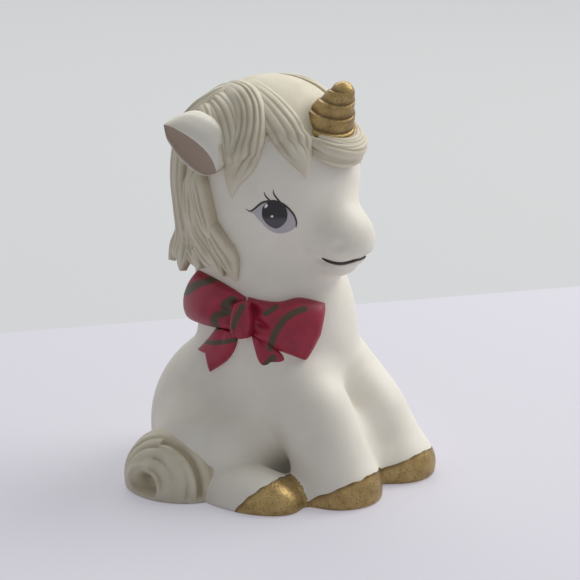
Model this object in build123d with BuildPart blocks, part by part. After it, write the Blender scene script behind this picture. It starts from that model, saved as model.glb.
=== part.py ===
from build123d import *
import os
from math import cos, radians, sin

# A seated foal-like unicorn in slip-cast bisque porcelain. It faces -Y, its own right side is -X,
# and it stands on Z = 0. The origin is on the base face, under the neck. Each sprigged piece is
# luted onto the form that carries it, so its back is cut to that form and they meet face to face.

# Torso and neck: one casting, lofted through level ellipses, with its vent in the base
torso_height = 62.0
torso_half_width = 23.0
torso_half_depth = 23.0
vent_bore = 6.0
vent_depth = 3.5
vent_back = 6.0

# Haunches and hind feet
haunch_half_width = 15.5
haunch_half_depth = 15.0
haunch_half_height = 13.0
haunch_spread = 15.0
haunch_back = 5.0
haunch_rise = 9.0
hind_foot_half_width = 8.3
hind_foot_half_length = 14.6
hind_foot_half_height = 7.6
hind_foot_spread = 23.5
hind_foot_forward = 9.0
hind_foot_rise = 1.0
hind_hoof_length = 12.5
hind_hoof_slope = 47.0

# Fore legs: lofted through level ellipses from the foot up into the shoulder
fore_leg_height = 31.0
fore_leg_radius = 9.1
shoulder_forward = 8.0
right_fore_spread = 9.0
right_fore_reach = 17.0
left_fore_spread = 10.0
left_fore_splay = 2.5
left_fore_reach = 18.0
fore_hoof_height = 7.2
fore_hoof_slope = 27.0

# Head: a skull, and a muzzle lofted forwards through upright ellipses
head_half_width = 20.0
head_half_depth = 20.0
head_half_height = 22.0
head_lift = 9.0
muzzle_reach = 26.2
muzzle_drop = 13.5
muzzle_half_width = 15.0
muzzle_half_height = 12.5

# Hair: a cap over the skull, cut into locks, and a mane down the back of the neck
hair_thickness = 1.7
hair_back = 1.0
hair_line_drop = 4.0
lock_proud = 1.1
mane_length = 22.0
mane_half_width = 20.8
mane_half_depth = 21.4
mane_lock_height = 1.8
mane_lock_count = 14

# Forelock: a rolled lock round the front of the horn's root
forelock_ring_radius = 7.4
forelock_roll_radius = 2.9

# Horn: a leaning cone with one spiral swelling
horn_base_radius = 5.6
horn_tip_radius = 1.9
horn_height = 14.6
horn_lean = 26.0
horn_swell = 0.7
horn_turns = 2.5
horn_rings = 11
horn_root_forward = 14.4
horn_root_rise = 10.2

# Ears: hollowed leaves swept back from the temple, open on their outer side. The sweep points
# from the right ear's root to its tip, and the facing points out of its hollow.
ear_half_length = 10.4
ear_half_width = 5.8
ear_half_thickness = 4.8
ear_hollow_half_length = 8.4
ear_hollow_half_width = 3.0
ear_hollow_depth = 3.4
ear_hollow_drop = 2.1
ear_spread = 16.8
ear_back = 8.4
ear_rise = 10.4
ear_sweep = (0.09, 0.88, 0.47)
ear_facing = (-0.94, 0.25, -0.23)

# Bow tied on the right side of the neck
bow_thickness = 2.6
knot_proud = 1.4
bow_drop = 23.5
bow_length = 17.0
bow_height = 13.0
knot_width = 4.8
knot_height = 7.2
knot_corner = 1.4
bow_corner = 0.8

# Tail, curled against the right haunch
tail_half_width = 12.5
tail_half_depth = 14.0
tail_half_height = 12.0
tail_spread = 25.0
tail_back = 9.0
tail_rise = 2.5

# One overrun for every cutting solid
overrun = 2.0

# Level sections of the torso: height, centre behind the origin, half width and half depth, as
# shares of the torso's height, half depth, half width and half depth
torso_section_shares = (
    (0.00, 0.39, 0.91, 0.91),
    (0.14, 0.39, 1.00, 1.00),
    (0.32, 0.27, 0.90, 1.02),
    (0.45, 0.09, 0.80, 0.94),
    (0.58, -0.025, 0.79, 0.835),
    (0.66, -0.01, 0.79, 0.82),
    (0.74, 0.03, 0.77, 0.79),
    (0.81, 0.075, 0.75, 0.77),
    (1.00, 0.13, 0.74, 0.74),
)

# Level sections of a fore leg: height, advance from the shoulder, half width and half depth, as
# shares of the leg's height, its reach and its radius
leg_section_shares = (
    (0.00, 1.00, 0.99, 0.98),
    (0.13, 0.99, 1.04, 1.08),
    (0.42, 0.73, 1.00, 1.12),
    (0.73, 0.42, 0.96, 1.12),
    (1.00, 0.06, 0.75, 0.90),
)

# Upright sections of the muzzle, from inside the skull to the tip of the nose: reach from the
# skull's centre, drop below it, half width and half height, as shares of the muzzle's own sizes
muzzle_section_shares = (
    (0.30, 0.50, 1.00, 1.00),
    (0.50, 0.68, 0.77, 0.84),
    (0.65, 0.86, 0.60, 0.75),
    (0.78, 0.97, 0.51, 0.62),
    (0.90, 1.00, 0.40, 0.45),
    (0.97, 1.00, 0.26, 0.29),
    (1.00, 1.00, 0.09, 0.10),
)

# Level sections of the mane: depth below the skull's centre, centre behind it, half width, half
# depth and height of the locks, as shares of the mane's length, half depth, half width, half depth
# and lock height
mane_section_shares = (
    (-0.40, 0.05, 0.98, 0.98, 0.0),
    (0.00, 0.05, 1.00, 1.00, 0.4),
    (0.32, 0.075, 0.98, 0.99, 0.7),
    (0.59, 0.13, 0.945, 0.985, 0.9),
    (0.82, 0.19, 0.935, 1.01, 1.0),
    (1.00, 0.225, 0.935, 1.035, 1.0),
)

# Front edge of the mane seen from the side: behind the origin and above the skull's centre, as
# shares of the mane's half depth and length. It runs down behind the ear and then slants forward.
mane_edge_shares = ((0.37, 0.50), (0.37, -0.50), (-0.07, -1.05))

# Lower edge of the right fringe from the ear to the brow, seen three quarters from the right:
# along and above the skull's centre, as shares of the head's half width and half height. Tips and
# notches take turns, and the point after each is the middle of the curve to the next.
fringe_edge_shares = (
    (-0.66, 0.15), (-0.58, 0.02), (-0.47, -0.07), (-0.24, 0.21), (-0.065, 0.42),
    (0.13, 0.27), (0.36, 0.14), (0.44, 0.36), (0.42, 0.64),
)

# Locks that stand out on the right fringe, seen like its lower edge: each is a rear edge from the
# crown to the tip and a front edge from the tip back to the crown
lock_edge_shares = (
    (((-0.40, 0.93), (-0.20, 0.76), (0.08, 0.40), (0.36, 0.14)),
     ((0.36, 0.14), (0.41, 0.52), (0.13, 0.90), (-0.28, 1.03))),
    (((-0.62, 0.86), (-0.44, 0.66), (-0.54, 0.28), (-0.47, -0.07)),
     ((-0.47, -0.07), (-0.21, 0.27), (-0.08, 0.75), (-0.38, 0.98))),
    (((-0.80, 0.70), (-0.71, 0.58), (-0.59, 0.43), (-0.55, 0.26)),
     ((-0.55, 0.26), (-0.44, 0.51), (-0.49, 0.78), (-0.66, 0.84))),
)

# Outlines of the bow's pieces, each seen square on from its own side of the neck: along the neck
# and above the bow's level, as shares of the bow's length and height
back_loop_shares = (
    (0.76, 0.04), (0.76, 0.66), (0.56, 0.90), (0.06, 0.97), (-0.18, 0.00), (0.36, -0.02),
)
front_loop_shares = (
    (-0.42, -0.02), (-0.42, 0.70), (-0.11, 0.57), (0.12, 0.66), (0.46, 0.63), (0.56, 0.50),
    (0.51, 0.10), (0.28, -0.50), (-0.18, -0.24),
)
back_tail_shares = (
    (0.12, 0.04), (-0.25, -0.52), (-0.03, -0.51), (-0.01, -0.86), (0.34, -0.52), (0.49, 0.04),
)
front_tail_shares = (
    (-0.24, 0.04), (-0.09, -0.64), (0.02, -0.98), (0.14, -0.72), (0.42, -0.76), (0.15, -0.30),
    (0.15, 0.04),
)
knot_angle = -11.0
back_loop_angle = 28.0
front_loop_angle = -42.0
back_tail_angle = 12.0
front_tail_angle = -32.0
fringe_angle = -36.0

# Places that follow from the sizes
head_centre = (0, 0, torso_height + head_lift)
bow_level = torso_height - bow_drop
hair_centre = (0, hair_back, head_centre[2])
hair_half_sizes = (
    head_half_width + hair_thickness,
    head_half_depth + hair_thickness,
    head_half_height + hair_thickness,
)
lock_half_sizes = tuple(size + lock_proud for size in hair_half_sizes)
horn_root = (0, -horn_root_forward, head_centre[2] + horn_root_rise)
ear_centre = (-ear_spread, ear_back, head_centre[2] + ear_rise)
reach_out = torso_half_width + torso_half_depth + overrun


def level_loft(rows):
    """A solid lofted through level ellipses, each given as centre, half width, half depth."""
    with BuildPart() as form:
        for centre, half_width, half_depth in rows:
            with BuildSketch(Plane(centre)):
                Ellipse(half_width, half_depth)
        loft()
    return form.part


def ellipsoid(centre, half_sizes, turn=(0, 0, 0)):
    """A triaxial ellipsoid: the unit sphere stretched to its half sizes, turned and placed."""
    unit = Sphere(radius=1, mode=Mode.PRIVATE)
    return Location(centre, turn) * scale(unit, by=half_sizes, mode=Mode.PRIVATE)


def torso_rows(coat):
    """The torso's level sections, grown all round by the thickness of a coat over them."""
    rows = []
    for height_share, back_share, width_share, depth_share in torso_section_shares:
        centre = (0, back_share * torso_half_depth, height_share * torso_height)
        half_width = width_share * torso_half_width + coat
        half_depth = depth_share * torso_half_depth + coat
        rows.append((centre, half_width, half_depth))
    return rows


def fore_leg_rows(spread, splay, reach):
    """A fore leg's level sections. Spread is its shoulder's X and splay is how far the foot is out."""
    rows = []
    for height_share, advance_share, width_share, depth_share in leg_section_shares:
        across = spread + splay * advance_share
        ahead = shoulder_forward + reach * advance_share
        centre = (across, -ahead, height_share * fore_leg_height)
        rows.append((centre, width_share * fore_leg_radius, depth_share * fore_leg_radius))
    return rows


def mane_points(section_shares):
    """Points round the mane's level section, in turn on a lock's ridge and in a furrow."""
    drop_share, back_share, width_share, depth_share, height_share = section_shares
    level = head_centre[2] - drop_share * mane_length
    points = []
    for number in range(2 * mane_lock_count):
        turn = radians(180 * number / mane_lock_count)
        rise = height_share * mane_lock_height * (0.5 - number % 2)
        across = (width_share * mane_half_width + rise) * sin(turn)
        behind = (depth_share * mane_half_depth + rise) * cos(turn)
        points.append((across, back_share * mane_half_depth + behind, level))
    return points


def fringe_lock(edges):
    """A pointed lock's outline, run outwards from the middle of the head."""
    with BuildPart() as blank:
        with BuildSketch(side_plane(fringe_angle, head_centre)):
            with BuildLine():
                rear = Spline(*scaled_points(edges[0], head_half_width, head_half_height))
                front = Spline(*scaled_points(edges[1], head_half_width, head_half_height))
                Line(front @ 1, rear @ 0)
            make_face()
        extrude(amount=reach_out)
    return blank.part


def side_plane(angle, centre):
    """An upright plane on a centre that faces away from it, turned by an angle from -X to +Y."""
    outward = (-cos(radians(angle)), sin(radians(angle)), 0)
    along = (-sin(radians(angle)), -cos(radians(angle)), 0)
    return Plane(centre, x_dir=along, z_dir=outward)


def scaled_points(shares, length, height):
    """The points of an outline, from its shares of a length and a height."""
    return [(along * length, above * height) for along, above in shares]


def bow_blank(angle, shares, corner):
    """A bow piece's outline, run outwards from the neck's middle, square to its own plane."""
    with BuildPart() as blank:
        with BuildSketch(side_plane(angle, (0, 0, bow_level))) as face:
            Polygon(*scaled_points(shares, bow_length, bow_height), align=None)
            fillet(face.vertices(), radius=corner)
        extrude(amount=reach_out)
    return blank.part


def mirrored(part):
    """The same piece on the other side of the middle plane."""
    return mirror(part, about=Plane.YZ, mode=Mode.PRIVATE)


os.makedirs("parts", exist_ok=True)

# Outer forms of the torso and the head, which each other piece is cut to
torso_form = level_loft(torso_rows(0))
haunch_form = ellipsoid(
    (-haunch_spread, haunch_back, haunch_rise),
    (haunch_half_width, haunch_half_depth, haunch_half_height),
)

with BuildPart() as head_solid:
    add(ellipsoid(head_centre, (head_half_width, head_half_depth, head_half_height)))
    for reach_share, drop_share, width_share, height_share in muzzle_section_shares:
        level = head_centre[2] - drop_share * muzzle_drop
        with BuildSketch(Plane((0, -reach_share * muzzle_reach, level), (1, 0, 0), (0, -1, 0))):
            Ellipse(width_share * muzzle_half_width, height_share * muzzle_half_height)
    loft()
head_form = head_solid.part

with BuildPart() as body_solid:
    add(torso_form)
    add(haunch_form)
    add(mirrored(haunch_form))
    split(bisect_by=Plane.XY)
    add(head_form, mode=Mode.SUBTRACT)
body_form = body_solid.part

# Body: torso, neck and haunches in one closed casting. The blind vent in the base is plugged.
with BuildPart() as body_shell:
    add(body_form)
    with Locations((0, vent_back, 0)):
        Cylinder(vent_bore / 2, 2 * vent_depth, mode=Mode.SUBTRACT)

# Head: skull and muzzle in one closed casting
with BuildPart() as head_shell:
    add(head_form)

# Hind feet and their gilded hooves
hind_foot_front = hind_foot_forward + hind_foot_half_length
with BuildPart() as hind_foot_solid:
    add(
        ellipsoid(
            (-hind_foot_spread, -hind_foot_forward, hind_foot_rise),
            (hind_foot_half_width, hind_foot_half_length, hind_foot_half_height),
        )
    )
    split(bisect_by=Plane.XY)
    add(body_form, mode=Mode.SUBTRACT)
hind_cut = Plane(
    (0, hind_hoof_length - hind_foot_front, 0),
    x_dir=(1, 0, 0),
    z_dir=(0, sin(radians(hind_hoof_slope)), cos(radians(hind_hoof_slope))),
)

with BuildPart() as right_hind_foot:
    add(hind_foot_solid.part)
    split(bisect_by=hind_cut, keep=Keep.TOP)

with BuildPart() as right_hind_hoof:
    add(hind_foot_solid.part)
    split(bisect_by=hind_cut, keep=Keep.BOTTOM)

with BuildPart() as left_hind_foot:
    add(mirrored(right_hind_foot.part))

with BuildPart() as left_hind_hoof:
    add(mirrored(right_hind_hoof.part))


def fore_leg_solid(spread, splay, reach):
    """A whole fore leg, cut back to the body and to the hind feet."""
    with BuildPart() as leg:
        add(level_loft(fore_leg_rows(spread, splay, reach)))
        add(body_form, mode=Mode.SUBTRACT)
        add(hind_foot_solid.part, mode=Mode.SUBTRACT)
        add(mirrored(hind_foot_solid.part), mode=Mode.SUBTRACT)
    return leg.part.solids().sort_by(SortBy.VOLUME)[-1]


def fore_hoof_plane(reach):
    """The sloping joint between a fore leg and its hoof, highest at the front of the foot."""
    front = shoulder_forward + reach + fore_leg_radius
    tilt = radians(fore_hoof_slope)
    return Plane((0, -front, fore_hoof_height), x_dir=(1, 0, 0), z_dir=(0, sin(tilt), cos(tilt)))


# Fore legs and their gilded hooves
right_leg_form = fore_leg_solid(-right_fore_spread, 0, right_fore_reach)
left_leg_form = fore_leg_solid(left_fore_spread, left_fore_splay, left_fore_reach)

with BuildPart() as right_foreleg:
    add(right_leg_form)
    split(bisect_by=fore_hoof_plane(right_fore_reach), keep=Keep.TOP)

with BuildPart() as right_fore_hoof:
    add(right_leg_form)
    split(bisect_by=fore_hoof_plane(right_fore_reach), keep=Keep.BOTTOM)

with BuildPart() as left_foreleg:
    add(left_leg_form)
    add(right_leg_form, mode=Mode.SUBTRACT)
    split(bisect_by=fore_hoof_plane(left_fore_reach), keep=Keep.TOP)

with BuildPart() as left_fore_hoof:
    add(left_leg_form)
    add(right_leg_form, mode=Mode.SUBTRACT)
    split(bisect_by=fore_hoof_plane(left_fore_reach), keep=Keep.BOTTOM)

# Tail
with BuildPart() as tail:
    add(
        ellipsoid(
            (-tail_spread, tail_back, tail_rise),
            (tail_half_width, tail_half_depth, tail_half_height),
        )
    )
    split(bisect_by=Plane.XY)
    add(body_form, mode=Mode.SUBTRACT)
    add(hind_foot_solid.part, mode=Mode.SUBTRACT)

# Horn: rings stacked along a leaning axis, each set off the axis in a turning direction
with BuildPart() as horn_solid:
    lean = radians(horn_lean)
    axis = Vector(0, -sin(lean), cos(lean))
    for ring in range(horn_rings):
        share = ring / (horn_rings - 1)
        taper = share ** 1.3
        radius = horn_base_radius + (horn_tip_radius - horn_base_radius) * taper
        turn = radians(360 * horn_turns * share)
        swell = horn_swell * (1 - share / 2)
        place = Vector(*horn_root) + axis * (horn_height * share)
        with BuildSketch(Plane(place, x_dir=(1, 0, 0), z_dir=axis)):
            with Locations((swell * cos(turn), swell * sin(turn))):
                Circle(radius)
    loft()
    tip = Vector(*horn_root) + axis * horn_height
    add(ellipsoid(tuple(tip), (horn_tip_radius, horn_tip_radius, horn_tip_radius)))
horn_form = horn_solid.part

with BuildPart() as horn:
    add(horn_form)
    add(head_form, mode=Mode.SUBTRACT)

# Hair: a shell over the skull, parted in the middle, with pointed locks at the brow
with BuildPart() as hair_solid:
    add(ellipsoid(hair_centre, hair_half_sizes))
    add(head_form, mode=Mode.SUBTRACT)
    add(horn_form, mode=Mode.SUBTRACT)
hair_form = hair_solid.part

with BuildPart() as fringe_blank:
    with BuildSketch(side_plane(fringe_angle, head_centre)):
        edge = scaled_points(fringe_edge_shares, head_half_width, head_half_height)
        top = head_half_height + hair_thickness + overrun
        far = head_half_width + hair_thickness + overrun
        with BuildLine():
            for first in range(0, len(edge) - 2, 2):
                ThreePointArc(edge[first], edge[first + 1], edge[first + 2])
            Polyline(edge[-1], (far, edge[-1][1]), (far, top), (edge[0][0], top), edge[0])
        make_face()
    extrude(amount=reach_out, both=True)
    split(bisect_by=Plane.YZ, keep=Keep.BOTTOM)

with BuildPart() as fringe_locks:
    for lock_edges in lock_edge_shares:
        add(fringe_lock(lock_edges))
    add(ellipsoid(hair_centre, lock_half_sizes), mode=Mode.INTERSECT)
    add(head_form, mode=Mode.SUBTRACT)
    add(horn_form, mode=Mode.SUBTRACT)
    split(bisect_by=Plane.YZ, keep=Keep.BOTTOM)

with BuildPart() as right_fringe:
    add(hair_form)
    add(fringe_blank.part, mode=Mode.INTERSECT)
    add(fringe_locks.part)

with BuildPart() as left_fringe:
    add(mirrored(right_fringe.part))

with BuildPart() as back_hair:
    add(hair_form)
    add(fringe_blank.part, mode=Mode.SUBTRACT)
    add(mirrored(fringe_blank.part), mode=Mode.SUBTRACT)
    add(right_fringe.part, mode=Mode.SUBTRACT)
    add(left_fringe.part, mode=Mode.SUBTRACT)
    split(bisect_by=Plane((0, 0, head_centre[2] - hair_line_drop)), keep=Keep.TOP)
    split(bisect_by=Plane((0, hair_back, 0), z_dir=(0, 1, 0)), keep=Keep.TOP)

with BuildPart() as mane_blank:
    with BuildSketch(Plane(head_centre, x_dir=(0, 1, 0), z_dir=(1, 0, 0))):
        edge = scaled_points(mane_edge_shares, mane_half_depth, mane_length)
        far = 2 * mane_half_depth
        Polygon(*edge, (far, edge[-1][1]), (far, edge[0][1]), align=None)
    extrude(amount=reach_out, both=True)

with BuildPart() as nape_mane:
    for section_shares in reversed(mane_section_shares):
        points = mane_points(section_shares)
        with BuildSketch(Plane((0, 0, points[0][2]))):
            with BuildLine():
                Spline(*[(across, behind) for across, behind, level in points], periodic=True)
            make_face()
    loft()
    add(torso_form, mode=Mode.SUBTRACT)
    add(mane_blank.part, mode=Mode.INTERSECT)
    add(head_form, mode=Mode.SUBTRACT)
    add(back_hair.part, mode=Mode.SUBTRACT)
    add(right_fringe.part, mode=Mode.SUBTRACT)
    add(left_fringe.part, mode=Mode.SUBTRACT)

# Forelock: the front half of a roll round the horn's root
with BuildPart() as forelock_curl:
    roll_plane = Plane(horn_root, x_dir=(1, 0, 0), z_dir=axis)
    roll = Torus(forelock_ring_radius, forelock_roll_radius, mode=Mode.PRIVATE)
    add(roll_plane.location * roll)
    split(bisect_by=Plane(horn_root, z_dir=(0, -1, 0)), keep=Keep.TOP)
    add(head_form, mode=Mode.SUBTRACT)
    add(horn_form, mode=Mode.SUBTRACT)
    add(right_fringe.part, mode=Mode.SUBTRACT)
    add(left_fringe.part, mode=Mode.SUBTRACT)

# Ears: leaves hollowed on their outer lower side
ear_plane = Plane(ear_centre, x_dir=ear_sweep, z_dir=ear_facing)
ear_half_sizes = (ear_half_length, ear_half_width, ear_half_thickness)
hollow_half_sizes = (ear_hollow_half_length, ear_hollow_half_width, ear_hollow_depth)
with BuildPart() as right_ear:
    add(ear_plane.location * ellipsoid((0, 0, 0), ear_half_sizes))
    add(
        ear_plane.location
        * ellipsoid((0, ear_hollow_drop, ear_half_thickness), hollow_half_sizes),
        mode=Mode.SUBTRACT,
    )
    add(ellipsoid(hair_centre, hair_half_sizes), mode=Mode.SUBTRACT)
    add(right_fringe.part, mode=Mode.SUBTRACT)
    add(nape_mane.part, mode=Mode.SUBTRACT)

with BuildPart() as left_ear:
    add(mirrored(right_ear.part))

# Bow: a knot, two loops and two tails, all lying on the neck
bow_skin = level_loft(torso_rows(bow_thickness))
knot_skin = level_loft(torso_rows(bow_thickness + knot_proud))

with BuildPart() as bow_knot:
    with BuildSketch(side_plane(knot_angle, (0, 0, bow_level))) as knot_face:
        with Locations((knot_width / 2, knot_height / 2)):
            RectangleRounded(knot_width, knot_height, knot_corner)
    extrude(amount=reach_out)
    add(knot_skin, mode=Mode.INTERSECT)
    add(torso_form, mode=Mode.SUBTRACT)


def bow_piece(angle, shares, cutters):
    """A bow piece: its outline within the bow's skin, cut back to the body and what it meets."""
    with BuildPart() as piece:
        add(bow_blank(angle, shares, bow_corner))
        add(bow_skin, mode=Mode.INTERSECT)
        for cutter in (torso_form, head_form, right_leg_form, *cutters):
            add(cutter, mode=Mode.SUBTRACT)
    return piece.part.solids().sort_by(SortBy.VOLUME)[-1]


with BuildPart() as bow_back_loop:
    add(bow_piece(back_loop_angle, back_loop_shares, (bow_knot.part, nape_mane.part)))

with BuildPart() as bow_front_loop:
    cutters = (bow_knot.part, bow_back_loop.part)
    add(bow_piece(front_loop_angle, front_loop_shares, cutters))

loops = (bow_knot.part, bow_back_loop.part, bow_front_loop.part)
with BuildPart() as bow_back_tail:
    add(bow_piece(back_tail_angle, back_tail_shares, loops))

with BuildPart() as bow_front_tail:
    add(bow_piece(front_tail_angle, front_tail_shares, (*loops, bow_back_tail.part)))

pieces = {
    "body_shell": body_shell,
    "head_shell": head_shell,
    "right_foreleg": right_foreleg,
    "left_foreleg": left_foreleg,
    "right_fore_hoof": right_fore_hoof,
    "left_fore_hoof": left_fore_hoof,
    "right_hind_foot": right_hind_foot,
    "left_hind_foot": left_hind_foot,
    "right_hind_hoof": right_hind_hoof,
    "left_hind_hoof": left_hind_hoof,
    "tail": tail,
    "horn": horn,
    "right_fringe": right_fringe,
    "left_fringe": left_fringe,
    "back_hair": back_hair,
    "nape_mane": nape_mane,
    "forelock_curl": forelock_curl,
    "right_ear": right_ear,
    "left_ear": left_ear,
    "bow_knot": bow_knot,
    "bow_back_loop": bow_back_loop,
    "bow_front_loop": bow_front_loop,
    "bow_back_tail": bow_back_tail,
    "bow_front_tail": bow_front_tail,
}
for name, piece in pieces.items():
    piece.part.label = name
    export_step(piece.part, f"parts/{name}.step")
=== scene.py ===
"""A seated unicorn figurine in bisque porcelain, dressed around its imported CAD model.

The casting's skin is one smooth union of swelling forms. Every lump of it is a distance in
millimetres, and each sub-part follows the common skin up to its neighbour and then sinks
into it. Hair, bow, eyes and gilding are laid on that skin. A piece is one or more closed
tubes of rings, worked out as whole arrays in millimetres and put into a mesh in metres.
"""

from __future__ import annotations

import logging
from dataclasses import dataclass, field
from enum import Enum, IntEnum
from typing import Callable, Sequence

import bpy
import numpy as np
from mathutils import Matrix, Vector


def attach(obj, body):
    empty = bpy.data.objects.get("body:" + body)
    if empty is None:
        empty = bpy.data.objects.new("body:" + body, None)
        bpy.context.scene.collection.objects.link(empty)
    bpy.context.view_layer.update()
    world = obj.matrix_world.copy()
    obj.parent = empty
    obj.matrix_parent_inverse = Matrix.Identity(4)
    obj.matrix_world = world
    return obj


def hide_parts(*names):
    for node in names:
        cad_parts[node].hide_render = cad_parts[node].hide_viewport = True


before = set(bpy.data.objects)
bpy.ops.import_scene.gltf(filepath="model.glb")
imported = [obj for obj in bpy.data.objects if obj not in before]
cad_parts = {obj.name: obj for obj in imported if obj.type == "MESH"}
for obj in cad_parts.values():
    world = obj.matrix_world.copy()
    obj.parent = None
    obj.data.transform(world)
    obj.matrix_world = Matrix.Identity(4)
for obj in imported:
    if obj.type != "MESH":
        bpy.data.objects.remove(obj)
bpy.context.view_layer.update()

LOG = logging.getLogger("unicorn")
BODY = "root"
METRES = 0.001
TURN = 2.0 * np.pi
OTHER_SIDE = np.array((-1.0, 1.0, 1.0))
CURVE_STEPS = 80
HALVINGS = 16
TOUCH = 1e-4
PROBE = 0.04

Array = np.ndarray
Distance = Callable[[Array], Array]
Triple = tuple[float, float, float]
Pixel = tuple[float, float]
Span = tuple[float, float]


class Slot(Enum):
    """The record's material slots."""

    BISQUE = "bisque"
    GILT = "gilt"
    HAIR = "hair_stain"
    BOW = "bow_enamel"


class Part(IntEnum):
    """The casting's sub-parts; the value is a sub-part's row among their fields."""

    TRUNK = 0
    RIGHT_HIND = 1
    LEFT_HIND = 2
    RIGHT_FORE = 3
    LEFT_FORE = 4
    SKULL = 5


def grain(count: int) -> int:
    return count


def spokes(count: int) -> Array:
    """The angles of evenly spaced spokes round a whole turn."""
    return np.linspace(0.0, TURN, grain(count), endpoint=False)


def soft_min(first: Array, second: Array, width: float) -> Array:
    """The lesser of two distances, rounded where they differ by less than width."""
    share = np.maximum(width - np.abs(first - second), 0.0) / width
    return np.minimum(first, second) - share * share * width * 0.25


def soft_max(first: Array, second: Array, width: float) -> Array:
    """The greater of two distances, rounded where they differ by less than width."""
    return -soft_min(-first, -second, width)


def smooth_step(value: Array, start: float, end: float) -> Array:
    """0 before start, 1 after end, and an S-shaped rise between them."""
    share = np.clip((value - start) / (end - start), 0.0, 1.0)
    return share * share * (3.0 - 2.0 * share)


def fade_out(value: Array, start: float, end: float) -> Array:
    """1 before start, 0 after end, and an S-shaped fall between them."""
    return smooth_step(-value, -end, -start)


def bell(offset: Array, half_width: float) -> Array:
    """A bell curve: 1 where offset is 0, and e to the power -1 at the half width."""
    return np.exp(-((offset / half_width) ** 2))


def unit(vectors: Array) -> Array:
    """Each vector divided by its length."""
    length = np.sqrt((vectors * vectors).sum(-1, keepdims=True))
    return vectors / np.maximum(length, 1e-12)


def away_from(points: Array, place: Triple) -> Array:
    """The straight distance from each point to a place."""
    return np.sqrt(((points - np.array(place)) ** 2).sum(-1))


def mirrored(points: Array) -> Array:
    """The points moved over to the animal's left."""
    return np.concatenate([np.abs(points[..., :1]), points[..., 1:]], axis=-1)


def spline(points: Array, share: Array) -> Array:
    """Points along a smooth curve through given ones.

    Between two neighbours the curve is the cubic whose end slopes are half the step
    from the point before to the point after.

    Args:
        points: the points that the curve passes, one per row.
        share: places along the curve, from 0 at the first point to 1 at the last.

    Returns:
        One row per place.
    """
    points = np.asarray(points, float)
    last = len(points) - 1
    padded = np.vstack([2 * points[0] - points[1], points, 2 * points[-1] - points[-2]])
    place = np.clip(share, 0.0, 1.0) * last
    left = np.minimum(place.astype(int), last - 1)
    t = (place - left)[:, None]
    before, start, end, after = (padded[left + step] for step in range(4))
    slope_in, slope_out = (end - before) * 0.5, (after - start) * 0.5
    bend = 3 * (end - start) - 2 * slope_in - slope_out
    twist = 2 * (start - end) + slope_in + slope_out
    return start + t * (slope_in + t * (bend + t * twist))


def eased(values: Sequence[float], share: Array) -> Array:
    """A size that runs smoothly through given values, as spline() does."""
    return spline(np.array(values)[:, None], share)[:, 0]


def closed_spline(points: Array, share: Array) -> Array:
    """Points along a smooth closed curve through given ones.

    Args:
        points: the points that the curve passes, one per row.
        share: places round the curve, from 0 at the first point to 1 back at it.

    Returns:
        One row per place.
    """
    points = np.asarray(points, float)
    padded = np.vstack([points[-1], points, points[0], points[1]])
    return spline(padded, (1.0 + share * len(points)) / (len(padded) - 1))


def polyline(points: Array, share: Array) -> Array:
    """Points on straight runs between given ones, with an equal share to each run.

    Args:
        points: the corners, one per row.
        share: places along the line, from 0 at the first corner to 1 at the last.

    Returns:
        One row per place.
    """
    place = np.clip(share, 0.0, 1.0) * (len(points) - 1)
    left = np.minimum(place.astype(int), len(points) - 2)
    return points[left] + (place - left)[:, None] * (points[left + 1] - points[left])


def gap_to_line(pixels: Array, line: Array) -> Array:
    """The distance from each pixel to the nearest place on a line of straight runs.

    Args:
        pixels: the pixels, in any grid.
        line: the line's corners, one per row.

    Returns:
        One distance per pixel.
    """
    nearest = np.full(pixels.shape[:-1], np.inf)
    for start, end in zip(line, line[1:]):
        run = end - start
        share = np.clip(((pixels - start) @ run) / (run @ run), 0.0, 1.0)
        nearest = np.minimum(nearest, np.sqrt(((pixels - start - share[..., None] * run) ** 2).sum(-1)))
    return nearest


@dataclass(frozen=True)
class Ball:
    """An ellipsoid."""

    centre: Triple
    half: Triple

    def distance(self, points: Array) -> Array:
        """How far outside the ellipsoid each point lies, to first order.

        With r the length of the offset over the half sizes, it is r (r - 1) over the
        length of the offset over the squares of the half sizes.

        Args:
            points: places in millimetres.

        Returns:
            One distance per point, negative inside.
        """
        offset = points - np.array(self.centre)
        half = np.array(self.half)
        reach = np.sqrt(((offset / half) ** 2).sum(-1))
        steepness = np.sqrt(((offset / (half * half)) ** 2).sum(-1))
        return reach * (reach - 1.0) / np.maximum(steepness, 1e-9)


@dataclass(frozen=True)
class Limb:
    """A tapered bar with round ends."""

    start: Triple
    end: Triple
    start_radius: float
    end_radius: float

    def distance(self, points: Array) -> Array:
        """How far outside the bar each point lies.

        The foot of the perpendicular slides along the axis by the taper, so that it
        meets the slanted side square on.

        Args:
            points: places in millimetres.

        Returns:
            One distance per point, negative inside.
        """
        origin = np.array(self.start)
        run = np.array(self.end) - origin
        length = float(np.sqrt(run @ run))
        taper = (self.start_radius - self.end_radius) / length
        offset = points - origin
        along = offset @ (run / length)
        across = np.sqrt(np.maximum((offset * offset).sum(-1) - along * along, 0.0))
        foot = np.clip(along + across * taper / np.sqrt(1 - taper * taper), 0.0, length)
        gap = np.sqrt(across * across + (along - foot) ** 2)
        return gap - (self.start_radius - taper * foot)


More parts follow.
